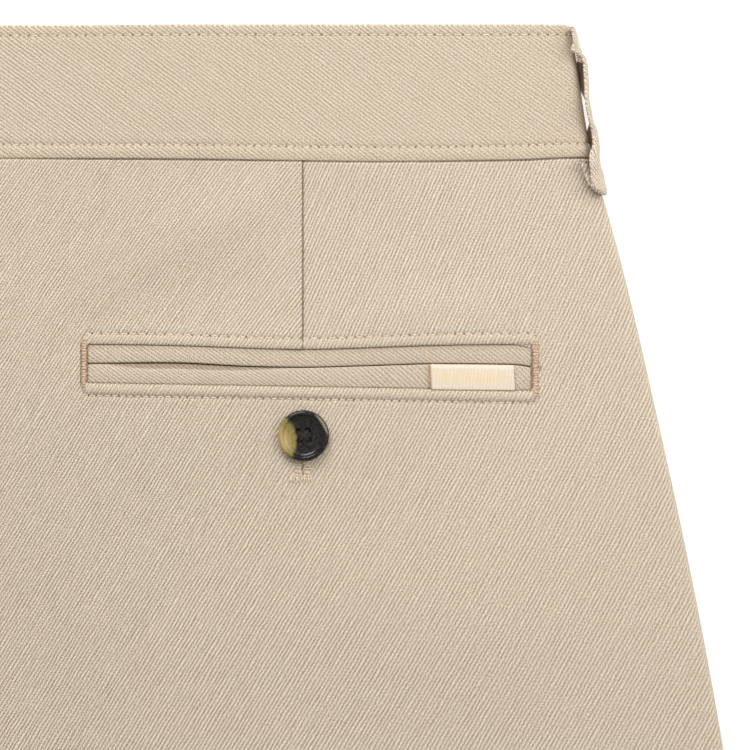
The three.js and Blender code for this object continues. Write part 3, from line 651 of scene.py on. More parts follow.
def new_mesh(name, vertices, faces, look, maps, slot, smooth=True):
    """Piece from vertices in metres and faces of any sizes, with UV maps given corner by corner."""
    mesh = bpy.data.meshes.new(name)
    sizes = np.concatenate([np.full(len(part), part.shape[1]) for part in faces])
    corners = np.concatenate([part.ravel() for part in faces]).astype(np.int32)
    used, corners = np.unique(corners, return_inverse=True)
    vertices = vertices[used]
    mesh.vertices.add(len(vertices))
    mesh.vertices.foreach_set("co", vertices.astype(np.float32).ravel())
    mesh.loops.add(len(corners))
    mesh.loops.foreach_set("vertex_index", corners.astype(np.int32))
    starts = np.concatenate([[0], np.cumsum(sizes)[:-1]]).astype(np.int32)
    mesh.polygons.add(len(sizes))
    mesh.polygons.foreach_set("loop_start", starts)
    mesh.polygons.foreach_set("use_smooth", np.full(len(sizes), smooth))
    mesh.update(calc_edges=True)
    for label, corner_uv in maps.items():
        layer = mesh.uv_layers.new(name=label)
        layer.uv.foreach_set("vector", corner_uv.astype(np.float32).ravel())
    mesh.validate()
    piece = bpy.data.objects.new(name, mesh)
    bpy.context.scene.collection.objects.link(piece)
    mesh.materials.append(look)
    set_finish(piece, slot)
    return piece


def closed_rows(grid):
    """Grid with its first row once more at its end."""
    return np.concatenate([grid, grid[:1]])


def face_values(grid, mask, caps, flip):
    """Values of a grid at the corners of its faces, four to a face, and round its two end caps."""
    parts = [np.stack([grid[:-1, :-1], grid[1:, :-1], grid[1:, 1:], grid[:-1, 1:]], axis=2)[mask]]
    if caps:
        parts += [grid[:-1, 0][None], grid[:-1, -1][::-1][None]]
    return [part[:, ::-1] for part in parts] if flip else parts


def surface(name, points, look, slot, maps=None, closed=False, caps=False, keep=None, flip=False):
    """Piece from a grid of points in metres, rows down and columns across.

    closed joins the last row to the first, so that the rows are a section carried along the columns, and
    caps closes both ends of it. keep is a mask of faces. flip turns the faces over. A map holds one
    place for each point, with one more row where the grid is closed.
    """
    rows, columns = points.shape[:2]
    index = np.arange(rows * columns).reshape(rows, columns)
    if closed:
        index = closed_rows(index)
    mask = np.ones((len(index) - 1, columns - 1), bool) if keep is None else keep
    faces = face_values(index, mask, caps, flip)
    flat_maps = {
        label: np.concatenate([part.reshape(-1, 2) for part in face_values(grid, mask, caps, flip)])
        for label, grid in (maps or {}).items()
    }
    return new_mesh(name, points.reshape(-1, 3), faces, look, flat_maps, slot)


def thicken(piece, thick):
    """Gives a sheet its thickness, inwards from its outer face."""
    wall = piece.modifiers.new("thickness", "SOLIDIFY")
    wall.thickness = thick * MM
    wall.offset = -1.0
    wall.use_rim = True


def smooth_course(rows, parts):
    """Smooth curve through rows of any columns, with parts between each two."""
    rows = np.array(rows, dtype=float)
    at = np.linspace(0, len(rows) - 1, (len(rows) - 1) * parts + 1)
    knots = np.arange(len(rows))
    return np.stack([along(np.stack([knots, column], axis=1), at) for column in rows.T], axis=1)


def weave_map(right, up, wale):
    """Place in the cloth, in mm: across the wales and along them, for wales at an angle in degrees."""
    c, s = cos_sin(wale)
    return np.stack(np.broadcast_arrays(right * s - up * c, right * c + up * s), axis=-1)


def cloth_maps(weave, sewn=None, seam=None, closed=False):
    """Maps of a twill piece: its weave, its stitches and its seam lines, by default none near it."""
    # The seam map carries seam lines and painted shade, and a pale painted highlight.
    grids = {
        "weave": weave,
        "sewn": np.broadcast_to((0.5, FAR), weave.shape) if sewn is None else sewn,
        "seam": np.broadcast_to((FAR, 0.0), weave.shape) if seam is None else seam,
    }
    return {label: closed_rows(grid) for label, grid in grids.items()} if closed else grids


# ---------------------------------------------------------------- shader parts


def node(tree, kind, inputs=None, **settings):
    """New node of a kind, with its settings, and its inputs set to values or linked from sockets."""
    made = tree.nodes.new(kind)
    for key, value in settings.items():
        setattr(made, key, value)
    for key, value in (inputs or {}).items():
        if isinstance(value, bpy.types.NodeSocket):
            tree.links.new(value, made.inputs[key])
        else:
            made.inputs[key].default_value = value
    return made


def maths(tree, operation, *values):
    """Result of a Math node on values or sockets."""
    return node(tree, "ShaderNodeMath", dict(enumerate(values)), operation=operation).outputs[0]


def times(tree, a, b):
    """Product of two values."""
    return maths(tree, "MULTIPLY", a, b)


def root_sum(tree, a, b):
    """Root of the sum of two values' squares."""
    return maths(tree, "SQRT", maths(tree, "ADD", times(tree, a, a), times(tree, b, b)))


def ribs(tree, value, pitch):
    """Cosine of a value, a whole turn for each pitch."""
    return maths(tree, "COSINE", times(tree, value, TURN / pitch))


def split(tree, vector):
    """The three axes of a place."""
    return node(tree, "ShaderNodeSeparateXYZ", {0: vector}).outputs


def spread(tree, value, low_in, high_in, low_out=0.0, high_out=1.0):
    """Value moved smoothly from one range to another."""
    made = node(tree, "ShaderNodeMapRange", {
        "Value": value, "From Min": low_in, "From Max": high_in, "To Min": low_out, "To Max": high_out,
    }, interpolation_type="SMOOTHSTEP")
    return made.outputs["Result"]


def within(tree, value, middle, inner, outer):
    """1 where a value is nearer a middle than the inner distance, and 0 beyond the outer one."""
    away = maths(tree, "ABSOLUTE", maths(tree, "SUBTRACT", value, middle))
    return spread(tree, away, inner, outer, 1.0, 0.0)


def blend_colour(tree, share, a, b):
    """Colour a share of the way from a to b."""
    made = tree.nodes.new("ShaderNodeMix")
    made.data_type = "RGBA"
    for socket, value in ((made.inputs[0], share), (made.inputs[6], a), (made.inputs[7], b)):
        if isinstance(value, bpy.types.NodeSocket):
            tree.links.new(value, socket)
        else:
            socket.default_value = value
    return made.outputs[2]


def tinted(tree, colour, tints):
    """Colour with each (share, tint) laid over it in turn."""
    for share, tint in tints:
        colour = blend_colour(tree, share, colour, tint)
    return colour


def linear(red, green, blue):
    """Scene colour of a colour given as it looks, from 0 to 255."""
    parts = np.array([red, green, blue]) / 255
    return (*np.where(parts <= 0.04045, parts / 12.92, ((parts + 0.055) / 1.055) ** 2.4), 1.0)


def group(name, inputs, outputs):
    """Empty shader group with named inputs (name, kind, value) and outputs (name, kind)."""
    tree = bpy.data.node_groups.new(name, "ShaderNodeTree")
    for label, kind, value in inputs:
        socket = tree.interface.new_socket(label, in_out="INPUT", socket_type=kind)
        if value is not None:
            socket.default_value = value
    for label, kind in outputs:
        tree.interface.new_socket(label, in_out="OUTPUT", socket_type=kind)
    return tree, tree.nodes.new("NodeGroupInput").outputs, tree.nodes.new("NodeGroupOutput").inputs


def use(tree, shared, inputs):
    """Node that places a shared group in a material, with that material's own values."""
    return node(tree, "ShaderNodeGroup", inputs, node_tree=shared).outputs


def noise(tree, vector, scale, detail=2.0, roughness=0.5):
    """Cloudy noise, about 0.5."""
    return node(tree, "ShaderNodeTexNoise", {
        "Vector": vector, "Scale": scale, "Detail": detail, "Roughness": roughness,
    }).outputs[0]


def stretched_noise(tree, vector, across, along_wales, detail):
    """Noise drawn out along the wales: how many of its features fit in a mm each way."""
    scaled = node(tree, "ShaderNodeVectorMath", {0: vector, 1: (across, along_wales, 0)},
                  operation="MULTIPLY").outputs[0]
    return noise(tree, scaled, 1.0, detail, 0.6)


def twill_weave():
    """Group "twill weave": soft diagonal ridges a pitch apart, uneven, and broken into floats.

    Ridge is the height of the cosine across the wales, and Grain how speckled the yarns are.
    """
    tree, given, out = group("twill weave", [
        ("Weave", "NodeSocketVector", None),
        ("Pitch", "NodeSocketFloat", WALE_PITCH),
        ("Ridge", "NodeSocketFloat", 0.5),
        ("Grain", "NodeSocketFloat", 2.0),
    ], [("Shade", "NodeSocketFloat"), ("Height", "NodeSocketFloat")])
    axes = split(tree, given["Weave"])
    sway = stretched_noise(tree, given["Weave"], 0.5, 0.11, 2.0)
    swayed = maths(tree, "MULTIPLY_ADD", sway, 0.9, axes[0])
    wale = ribs(tree, maths(tree, "DIVIDE", swayed, given["Pitch"]), 1.0)
    patches = stretched_noise(tree, given["Weave"], 0.22, 0.12, 2.0)
    patchy = spread(tree, patches, 0.3, 0.7, 0.78, 1.15)
    ridge = times(tree, wale, times(tree, patchy, given["Ridge"]))
    floats = maths(tree, "SUBTRACT", stretched_noise(tree, given["Weave"], 4.4, 2.9, 0.0), 0.5)
    speckle = maths(tree, "SUBTRACT", stretched_noise(tree, given["Weave"], 6.4, 5.2, 0.0), 0.5)
    grain = times(tree, maths(tree, "ADD", floats, speckle), given["Grain"])
    shade = maths(tree, "ADD", maths(tree, "MULTIPLY_ADD", grain, 0.5, 0.5), ridge)
    tree.links.new(node(tree, "ShaderNodeClamp", {0: shade}).outputs[0], out["Shade"])
    tree.links.new(maths(tree, "MULTIPLY_ADD", grain, 0.12, ridge), out["Height"])
    return tree


def sewing_marks():
    """Group "sewing marks": needle holes a stitch apart, a darker groove, and puckers beside the row.

    Sewn holds a count of stitches, so that a hole lies at each whole number, and the distance off the
    row in mm. A stitch counts as long as one of the waist seam's. Holes and Groove are masks for painted
    shade in the needle holes and along the groove.
    """
    tree, given, out = group("sewing marks", [
        ("Sewn", "NodeSocketVector", None),
        ("Hole", "NodeSocketFloat", 0.24),
    ], [("Holes", "NodeSocketFloat"), ("Groove", "NodeSocketFloat"), ("Pucker", "NodeSocketFloat")])
    count, off, _ = split(tree, given["Sewn"])
    part = maths(tree, "FRACT", maths(tree, "ADD", count, 0.5))
    step = maths(tree, "ABSOLUTE", maths(tree, "SUBTRACT", part, 0.5))
    away = root_sum(tree, times(tree, step, PITCH_BAND_SEAM), off)
    chance = node(tree, "ShaderNodeTexWhiteNoise", {"W": maths(tree, "ROUND", count)},
                  noise_dimensions="1D").outputs[0]
    hole = spread(tree, away, given["Hole"], times(tree, given["Hole"], 2.2), 1.0, 0.0)
    tree.links.new(times(tree, hole, spread(tree, chance, 0.0, 1.0, 0.5, 1.0)), out["Holes"])
    tree.links.new(spread(tree, off, 0.0, 0.75, 1.0, 0.0), out["Groove"])
    near = spread(tree, off, 0.3, 2.6, 1.0, 0.0)
    tree.links.new(times(tree, ribs(tree, count, 1.0), near), out["Pucker"])
    return tree


TWILL_WEAVE = twill_weave()
SEWING_MARKS = sewing_marks()

# Tints laid over the twill: slow unevenness, painted shade in the groove beside a row of stitches, a
# pale painted highlight over a pocket's rolled rim, dark seam lines and painted shade, and painted shade
# in needle holes.
UNEVEN_TINT = linear(190, 170, 146)
GROOVE_SHADE_TINT = linear(186, 156, 128)
PALE_HIGHLIGHT_TINT = linear(198, 180, 157)
SEAM_AND_SHADE_TINT = linear(100, 75, 54)
HOLE_SHADE_TINT = linear(92, 66, 46)


def material(name, roughness, **sockets):
    """New material, and its node tree and Principled shader, with plain values set on the shader."""
    made = bpy.data.materials.new(name)
    made.use_nodes = True
    tree = made.node_tree
    shader = tree.nodes["Principled BSDF"]
    shader.inputs["Roughness"].default_value = roughness
    for label, value in sockets.items():
        shader.inputs[label.replace("_", " ")].default_value = value
    return made, tree, shader.inputs


def uv(tree, label):
    """Place in one of a piece's own maps."""
    return node(tree, "ShaderNodeUVMap", uv_map=label).outputs[0]


def object_place(tree):
    """Place in the piece's own coordinates, in metres."""
    return node(tree, "ShaderNodeTexCoord").outputs["Object"]


def bump(tree, height, distance, under=None):
    """Normal from a height of so many mm, on top of another relief where one is given."""
    inputs = {"Height": height, "Distance": distance * MM, "Strength": 1.0}
    if under is not None:
        inputs["Normal"] = under
    return node(tree, "ShaderNodeBump", inputs).outputs[0]


def dress(tree, inputs, colour, relief):
    """Gives a material's shader its colour and its relief."""
    tree.links.new(colour, inputs["Base Color"])
    tree.links.new(relief, inputs["Normal"])


def twill_cloth(name, dark, light, ridge, grain):
    """Cotton twill: its weave colours the ridges and grooves, and sewing marks it with holes and seams.

    The ridges stand out less towards the sides.
    """
    made, tree, inputs = material(name, 0.88, Sheen_Weight=0.08, Sheen_Roughness=0.5)
    across = maths(tree, "ABSOLUTE", split(tree, object_place(tree))[0])
    side_fade = spread(tree, across, 0.04, 0.22, 1.16 * ridge, 0.84 * ridge)
    weave = use(tree, TWILL_WEAVE, {"Weave": uv(tree, "weave"), "Pitch": WALE_PITCH,
                                     "Ridge": side_fade, "Grain": grain})
    marks = use(tree, SEWING_MARKS, {"Sewn": uv(tree, "sewn"), "Hole": 0.2})
    seam_off, seam_shade, _ = split(tree, uv(tree, "seam"))
    slow = noise(tree, object_place(tree), 14.0, 3.0)
    ragged = maths(tree, "MULTIPLY_ADD", noise(tree, object_place(tree), 1800.0, 1.0), 0.5, -0.25)
    near = spread(tree, maths(tree, "ADD", seam_off, ragged), 0.08, 0.42, 1.0, 0.0)
    marked = times(tree, near, seam_shade)
    # Painted shade in the grooves, the holes and along the seam map's dark lines, and a painted
    # highlight along its pale one.
    colour = tinted(tree, blend_colour(tree, weave["Shade"], dark, light), [
        (spread(tree, slow, 0.3, 0.7, 0.0, 0.10), UNEVEN_TINT),
        (times(tree, marks["Groove"], 0.16), GROOVE_SHADE_TINT),
        (maths(tree, "MAXIMUM", times(tree, marked, -1.0), 0.0), PALE_HIGHLIGHT_TINT),
        (maths(tree, "MAXIMUM", marked, 0.0), SEAM_AND_SHADE_TINT),
        (times(tree, marks["Holes"], 0.8), HOLE_SHADE_TINT),
    ])
    tree.links.new(spread(tree, weave["Shade"], 0.0, 1.0, 0.96, 0.82), inputs["Roughness"])
    puckered = bump(tree, marks["Pucker"], 0.07)
    dress(tree, inputs, colour, bump(tree, weave["Height"], 0.16, under=puckered))
    return made


def thread(name, colour, shade):
    """Sewing thread: twisted plies, a little glossier than the cloth."""
    made, tree, inputs = material(name, 0.6, Sheen_Weight=0.1)
    fine = noise(tree, object_place(tree), 3200.0, 1.0)
    slow = noise(tree, object_place(tree), 420.0, 1.0)
    mottled = blend_colour(tree, spread(tree, fine, 0.35, 0.65), shade, colour)
    shaded = blend_colour(tree, spread(tree, slow, 0.4, 0.7, 0.0, 0.4), mottled, shade)
    dress(tree, inputs, shaded, bump(tree, fine, 0.05))
    return made


def ribbon_cloth():
    """Woven ribbon: fine upright ribs on ivory, with a faint woven row of small gold bars."""
    made, tree, inputs = material("ivory ribbon", 0.7, Sheen_Weight=0.1)
    right, up, _ = split(tree, uv(tree, "weave"))
    cloth = maths(tree, "MULTIPLY_ADD", ribs(tree, up, 0.36), 0.35, ribs(tree, right, 0.42))
    fine = noise(tree, object_place(tree), 2600.0, 1.0)
    ground = blend_colour(tree, spread(tree, cloth, -1.2, 1.2), linear(224, 201, 172),
                          linear(250, 237, 217))
    bars = spread(tree, ribs(tree, right, 1.45), -0.5, 0.5)
    row = within(tree, up, 3.9, 1.2, 1.7)
    gold = times(tree, times(tree, bars, row), within(tree, right, TAB_WIDE / 2, 10.4, 10.9))
    # Painted shadow along the tab's folded left edge.
    fold_edge_shadow = spread(tree, right, 0.1, 0.75, 1.0, 0.0)
    colour = tinted(tree, ground, [
        (spread(tree, fine, 0.35, 0.7, 0.0, 0.3), linear(255, 246, 230)),
        (times(tree, gold, 0.6), linear(252, 222, 150)),
        (times(tree, fold_edge_shadow, 0.8), linear(190, 140, 84)),
    ])
    dress(tree, inputs, colour, bump(tree, cloth, 0.05))
    return made


def horn():
    """Polished horn: near black, with a yellow patch at one side and a thin pale arc at the other."""
    made, tree, inputs = material("polished horn", 0.3, Coat_Weight=0.2, Coat_Roughness=0.1,
                                  Specular_IOR_Level=0.35)
    face = uv(tree, "face")
    right, up, _ = split(tree, face)
    cloud = noise(tree, face, 1.5, 2.0)
    grain = noise(tree, face, 7.0, 2.0)
    wide = maths(tree, "DIVIDE", maths(tree, "ADD", right, 1.07), 0.8)
    tall = maths(tree, "DIVIDE", maths(tree, "ADD", up, 0.04), 0.98)
    oval = root_sum(tree, wide, tall)
    swayed = maths(tree, "MULTIPLY_ADD", maths(tree, "SUBTRACT", cloud, 0.5), 0.3, oval)
    patch = spread(tree, swayed, 0.88, 1.10, 1.0, 0.0)
    middle = spread(tree, swayed, 0.35, 0.95, 1.0, 0.0)
    radius = root_sum(tree, right, up)
    lean = maths(tree, "ADD", times(tree, right, 0.90), times(tree, up, 0.43))
    ring = times(tree, spread(tree, radius, 0.78, 0.84), spread(tree, radius, 0.98, 0.93))
    arc = times(tree, ring, spread(tree, lean, 0.79, 0.86))
    black = blend_colour(tree, spread(tree, grain, 0.35, 0.7), linear(10, 8, 5), linear(41, 36, 32))
    olive = blend_colour(tree, spread(tree, grain, 0.3, 0.7), linear(118, 110, 52),
                         linear(142, 132, 70))
    yellow = blend_colour(tree, middle, olive, linear(176, 150, 98))
    colour = tinted(tree, black, [(patch, yellow), (times(tree, arc, 0.75), linear(134, 128, 100))])
    tree.links.new(spread(tree, grain, 0.2, 0.8, 0.22, 0.34), inputs["Roughness"])
    dress(tree, inputs, colour, bump(tree, cloud, 0.03))
    return made


def zip_brass():
    """Brass of the zip's teeth and slider, dulled by fine brushing."""
    made, tree, inputs = material("zip brass", 0.4, Metallic=1.0)
    brushed = noise(tree, object_place(tree), 900.0, 3.0)
    tree.links.new(blend_colour(tree, brushed, linear(150, 118, 66), linear(204, 172, 108)),
                   inputs["Base Color"])
    tree.links.new(spread(tree, brushed, 0.2, 0.8, 0.3, 0.55), inputs["Roughness"])
    return made


def zip_tape_cloth():
    """Woven tape of the zip: fine herringbone ribs in the cloth's own colour."""
    made, tree, inputs = material("zip tape", 0.85)
    right, down, _ = split(tree, uv(tree, "weave"))
    rib = ribs(tree, maths(tree, "ADD", maths(tree, "PINGPONG", right, 2.0), down), 0.7)
    colour = blend_colour(tree, spread(tree, rib, -1.0, 1.0), linear(176, 156, 130),
                          linear(208, 190, 166))
    dress(tree, inputs, colour, bump(tree, rib, 0.06))
    return made


TWILL = twill_cloth("cotton twill", linear(148, 128, 102), linear(246, 231, 211), 0.40, 4.8)
# A shaded copy of the twill, with fainter ridges and darker colours, painted for how the light falls on
# the wales of the waistband and welts, which run the other way.
SHADED_TWILL_COPY = twill_cloth("cotton twill shaded copy", linear(145, 125, 100), linear(236, 220, 199),
                         0.24, 3.3)
THREAD = thread("peach thread", linear(252, 238, 216), linear(210, 184, 156))
TACK_THREAD = thread("pale bartack thread", linear(244, 218, 189), linear(190, 155, 124))
TAN_THREAD = thread("tan thread", linear(196, 150, 104), linear(140, 98, 62))
DARK_THREAD = thread("dark brown thread", linear(46, 32, 28), linear(24, 18, 16))
RIBBON = ribbon_cloth()
HORN = horn()
BRASS = zip_brass()
ZIP_TAPE = zip_tape_cloth()

# ---------------------------------------------------------------- sewing


def stitch_row(path, up, pitch, radius, run=None, sink=0.0, long=None):
    """Separate stitches along a path, between one whole number of pitches and the next.

    path is points in metres close together, up the direction out of the cloth there, and run the
    distance along it in mm, by default from its start. Each stitch is a small bent tube of five rings
    of five points, STITCH_GAP shorter than its pitch unless its length is given: its ends dip into the
    cloth, its middle stands up, and it is a little off true. Returns the points and the faces of all.
    """
    ups = np.broadcast_to(np.asarray(up, dtype=float), path.shape)
    run = run_along(path) / MM if run is None else run
    long = pitch - STITCH_GAP if long is None else long
    first = math.ceil(run[0] / pitch)
    count = math.floor(run[-1] / pitch) - first
    number = first + np.arange(count)
    shares = np.array([-0.5, -0.3, 0.0, 0.3, 0.5]) * long
    at = (number[:, None] + 0.5) * pitch + shares
    middle, out = (np.stack([np.interp(at, run, axis) for axis in rows.T], axis=-1)
                   for rows in (path, ups))
    out = unit(out)
    forward = unit(np.gradient(middle, axis=1))
    side = unit(np.cross(forward, out))
    shake = np.sin(number * 2.7)[:, None] * np.array([-1, -0.6, 0, 0.6, 1]) * 0.3 * radius
    rise = (np.array([-1.3, 0.45, 0.8, 0.45, -1.3]) * radius - sink) * MM
    thick = np.array([0.7, 1.0, 1.05, 1.0, 0.7]) * radius * MM
    middle = middle + out * rise[:, None] + side * shake[:, :, None] * MM
    angle = np.arange(5) * TURN / 5 + QUARTER
    ring = np.cos(angle)[:, None] * side[:, :, None, :] + np.sin(angle)[:, None] * out[:, :, None, :]
    points = middle[:, :, None, :] + ring * thick[:, None, None]
    index = np.arange(25).reshape(5, 5)
    turned = np.roll(index, -1, axis=1)
    quads = np.stack([index[:-1], turned[:-1], turned[1:], index[1:]], axis=-1).reshape(-1, 4)
    ends = np.stack([index[0][::-1], index[-1]])
    shift = (np.arange(count) * 25)[:, None, None]
    return points.reshape(-1, 3), (quads + shift).reshape(-1, 4), (ends + shift).reshape(-1, 5)


def one_thread(path, up, long, radius, sink=0.0):
    """A single stitch along the whole of a path of that length."""
    return stitch_row(path, up, long, radius, np.linspace(0, long, len(path)), sink, long * 0.98)


def sewing(name, rows, look):
    """Piece that holds many rows of stitches; those underneath are pressed flat by the surface."""
    points, quads, ends = zip(*rows)
    before = np.cumsum([0] + [len(row) for row in points[:-1]])
    faces = [np.concatenate([part + count for part, count in zip(parts, before)])
             for parts in (quads, ends)]
    points = np.concatenate(points)
    points[:, 2] = np.maximum(points[:, 2], 0.0)
    return new_mesh(name, points, faces, look, {}, "twill")


def on_back(x, drop):
    """Path on the back's face, with the direction out of it from the face's slope."""
    x, drop = np.broadcast_arrays(np.asarray(x, dtype=float), np.asarray(drop, dtype=float))
    step = 0.3
    z = back_face(x, drop)
    slope_x = (back_height(x + step, drop) - back_height(x - step, drop)) / (2 * step)
    slope_y = (back_height(x, drop - step) - back_height(x, drop + step)) / (2 * step)
    return place(x, drop, z), unit(np.stack([-slope_x, -slope_y, np.ones_like(z)], axis=-1))


# ---------------------------------------------------------------- legs

# Drops between which the rows of a back panel bend along with its pocket's window.
BENT_FROM = 86.0
BENT_TO = 122.0


def panel_columns(side):
    """Columns of a back panel: shares of the way to the pocket, distances there, and shares beyond it.

    Around the pocket and the dart the distance from the centre line is fixed, so that the window's ends
    are straight.
    """
    fine = 1.0 if side > 0 else 1.7
    fixed = steps(
        (60.0, 1.3 * fine), (67.0, 0.3), (71.2, 1.25 * fine), (131.0, 0.7), (133.6, 0.2),
        (DART_X, 0.1), (134.5, 0.22), (135.4, 0.6), (138.0, 1.25 * fine), (201.8, 0.3), (206.4, 1.0),
    )
    inner = np.linspace(0, 1, round(32 / fine), endpoint=False)
    outer = np.linspace(0, 1, round(22 / fine) + 1)[1:]
    return inner, fixed, outer


def panel_rows(side):
    """Drops of a back panel's rows at the pocket: close together at the waist seam and the stitches."""
    fine = 1.0 if side > 0 else 1.6
    return steps(
        (38.7, 0.3), (42.3, 0.9 * fine), (50.0, 1.7 * fine), (87.5, 0.8), (91.0, 0.3),
        (POCKET_TOP, 1.3), (POCKET_BOTTOM, 0.3), (110.9, 0.6), (112.7, 1.3 * fine),
        (BENT_TO, 2.3 * fine), (216.0, 4.6), (438.0, 2.4), (446.0, 0.8), (454.0, 2.4), (LENGTH, 2.4),
    )


def row_drop(base, x, inner_share):
    """Drop of a row at a distance: rows follow the window's edges, and the lowest the hem's rise."""
    near_top = ease(base, BENT_FROM, POCKET_TOP) * ease(base, POCKET_BOTTOM - 2, POCKET_TOP + 2)
    near_bottom = ease(base, POCKET_TOP + 2, POCKET_BOTTOM) * ease(base, BENT_TO, POCKET_BOTTOM)
    bent = (base + near_top * (window_edge(x) - POCKET_TOP)
            + near_bottom * (window_bottom(x) - POCKET_BOTTOM))
    return bent - HEM_RISE * inner_share * ease(base, 200.0, LENGTH - HEM_DEEP - 8)


def cone_weave(side, x, drop):
    """Place in a back panel's cloth: the dart takes a wedge out of it, so the wales turn round its tip.

    The polar angle about the tip, counted from the dart, is shrunk by the wedge's share of a full turn.
    Across the wales the place loses WALES_DRAWN times the logarithm of the hyperbolic cosine of itself
    over WALES_REACH, so that they lie closer nearer the centre.
    """
    right = x - side * DART_X
    up = DART_TIP - drop
    angle = np.degrees(np.arctan2(up, right))
    angle = np.where(angle < 89.999, angle + 360, angle)
    cloth = np.radians(90 + (angle - 90) * (360 - DART_TAKEN) / 360)
    radius = np.hypot(right, up)
    weave = weave_map(radius * np.cos(cloth), radius * np.sin(cloth), BACK_WALES)
    drawn = weave[..., 0] - side * WALES_DRAWN * np.log(np.cosh(weave[..., 0] / WALES_REACH))
    return np.stack([drawn, weave[..., 1]], axis=-1)


def nearest_map(lines):
    """Map of the nearest of several (distance, value) lines: the distance off it, and its value.

    A seam line's value is how dark it is, 0 to 1, or less than 0 for a pale one. The dark lines
    are seams and painted shade, the pale one a painted highlight.
    """
    offs = np.stack([off for off, _ in lines])
    values = np.stack([np.broadcast_to(value, offs[0].shape) for _, value in lines])
    nearest = np.argmin(offs, axis=0)[None]
    off, value = (np.take_along_axis(grid, nearest, axis=0)[0] for grid in (offs, values))
    return np.stack([np.minimum(off, FAR), value], axis=-1)


def sewn_map(rows):
    """Map of the nearest row of stitches: stitches counted along it, and the distance off it."""
    return nearest_map(rows)[..., ::-1]


def back_panel(side):
    """One back panel: columns across between its two folded edges, rows down, and a pocket's window.

    x is the flat end plus the fold's reach times the sine of its angle, and z falls from the face's
    height to the seam's by one less the cosine, as in the solid.
    """
    inner, fixed, outer = panel_columns(side)
    base = panel_rows(side)[:, None]
    turns_in = np.linspace(1, 0, 6, endpoint=False) * QUARTER
    turns_out = np.linspace(0, 1, 9)[1:] * QUARTER
    start = inside_at(base) + FOLD
    end = side_at(base) - FOLD
    flat = np.concatenate([
        mix(start, fixed[0], np.concatenate([np.zeros(len(turns_in)), inner])[None]),
        np.broadcast_to(fixed, (len(base), len(fixed))),
        mix(fixed[-1], end, np.concatenate([outer, np.ones(len(turns_out))])[None]),
    ], axis=1)
    middle = len(inner) + len(fixed) + len(outer)
    inner_angle = np.concatenate([turns_in, np.zeros(middle + len(turns_out))])[None]
    outer_angle = np.concatenate([np.zeros(len(turns_in) + middle), turns_out])[None]
    share = np.clip((flat - start) / (end - start), 0, 1)
    drop = row_drop(base, flat, share)
    shift = side_at(drop) - side_at(base)
    flat = flat + shift * ease(flat, fixed[-1], end)
    x = side * (flat + FOLD * (np.sin(outer_angle) - np.sin(inner_angle)))
    turn = inseam_turn(drop)
    fallen = 1 - np.cos(outer_angle) + turn * (1 - np.cos(inner_angle))
    z = mix(back_face(x, drop), SEAM_RISE + GAP / 2, fallen)
    in_window = ((flat > POCKET_LEFT - 0.01) & (flat < POCKET_RIGHT + 0.01)
                 & (base > POCKET_TOP - 0.01) & (base < POCKET_BOTTOM + 0.01))
    keep = ~(in_window[:-1, :-1] & in_window[1:, 1:])
    run = side * (flat + FOLD * (outer_angle - inner_angle))
    off = rim_off(x, drop)
    at_rim = np.abs(off - RIM)
    upper = drop < mouth_at(x)
    sewn = sewn_map([
        (at_rim + ABSENT * ~upper, rim_run(x, drop) / PITCH_RIM_TOP),
        (at_rim + ABSENT * upper, rim_run(x, drop) / PITCH_RIM_BOTTOM),
        (np.abs(drop - hem_line(x)), x / PITCH_HEM),
    ])
    ends, rows = rim_sides(x, drop)
    shadow_under_tab = (x > TAB_LEFT) & (x < TAB_RIGHT)
    at_end = np.hypot(np.maximum(ends, 0) * RIM_END / RIM, np.maximum(rows, 0))
    slit_start, slit_end = SLIT_DARK
    off_slit = (drop < slit_start) | (drop > slit_end)
    # Seam lines: along the dart, the buttonhole's slit and the window's edges they are dark seams and
    # slit with painted shade in them; under the tab the line is a painted shadow, and the pale band over
    # the rolled rim a painted highlight.
    seam = nearest_map([
        (np.abs(np.abs(x) - DART_X - 0.04) + ABSENT * (drop > DART_SEAM_END), 0.75),
        (np.abs(np.abs(x) - DART_X) + ABSENT * off_slit, 0.6),
        (np.abs(off) + 0.02 + ABSENT * upper, np.where(shadow_under_tab, 0.9, 0.4)),
        (np.abs(off) + 0.12 + ABSENT * ~upper, 0.5),
        (at_end - 0.1 + ABSENT * (ends < -0.5) + ABSENT * (ends < rows), 0.5),
        (np.abs(off - 1.7) / 4.5, -0.3),
    ])
    name = SIDE_NAMES[side]
    piece = surface(f"back_{name}_cloth", place(x, drop, z), TWILL, "twill",
                    cloth_maps(cone_weave(side, run, drop), sewn, seam), keep=keep, flip=side < 0)
    thicken(piece, CLOTH)
    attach(piece, "root")
    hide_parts(f"back_{name}")


for leg in SIDE_NAMES:
    back_panel(leg)

# ---------------------------------------------------------------- waistband


def band_detail(along_band, down):
    """Relief of the waistband's face: puffed strips outside its rows of stitches, grooves, puckers."""
    top = BAND_STITCH_TOP
    seam = BAND_STITCH_SEAM
    puff_top = BAND_PUFF_TOP * np.sin(math.pi * np.clip(down / top, 0, 1))
    below = np.clip((down - seam) / (BAND_DEEP - seam), 0, 1)
    puff_seam = BAND_PUFF_SEAM * np.sin(math.pi * below) ** 0.8
    grooves = -0.13 * hump(down - top, 0.45) - 0.19 * hump(down - seam, 0.5)
    inside = 0.10 * hump(down - seam + 2.2, 1.5) + 0.05 * hump(down - top - 2.0, 1.3)
    sway = 1 + 0.5 * np.sin(along_band * 0.13 + 1.0)
    pucker = 0.05 * sway * np.cos(TURN * along_band / PITCH_BAND_SEAM) * hump(down - seam, 1.7)
    wave = np.sin(along_band * 0.37 + 1.5 * np.sin(along_band * 0.09))
    ripple = 0.06 * wave * hump(down - seam + 3, 5)
    uneven = folds_at(BAND_FOLDS, along_band, down)
    return puff_top + puff_seam + grooves + inside + pucker + ripple + uneven


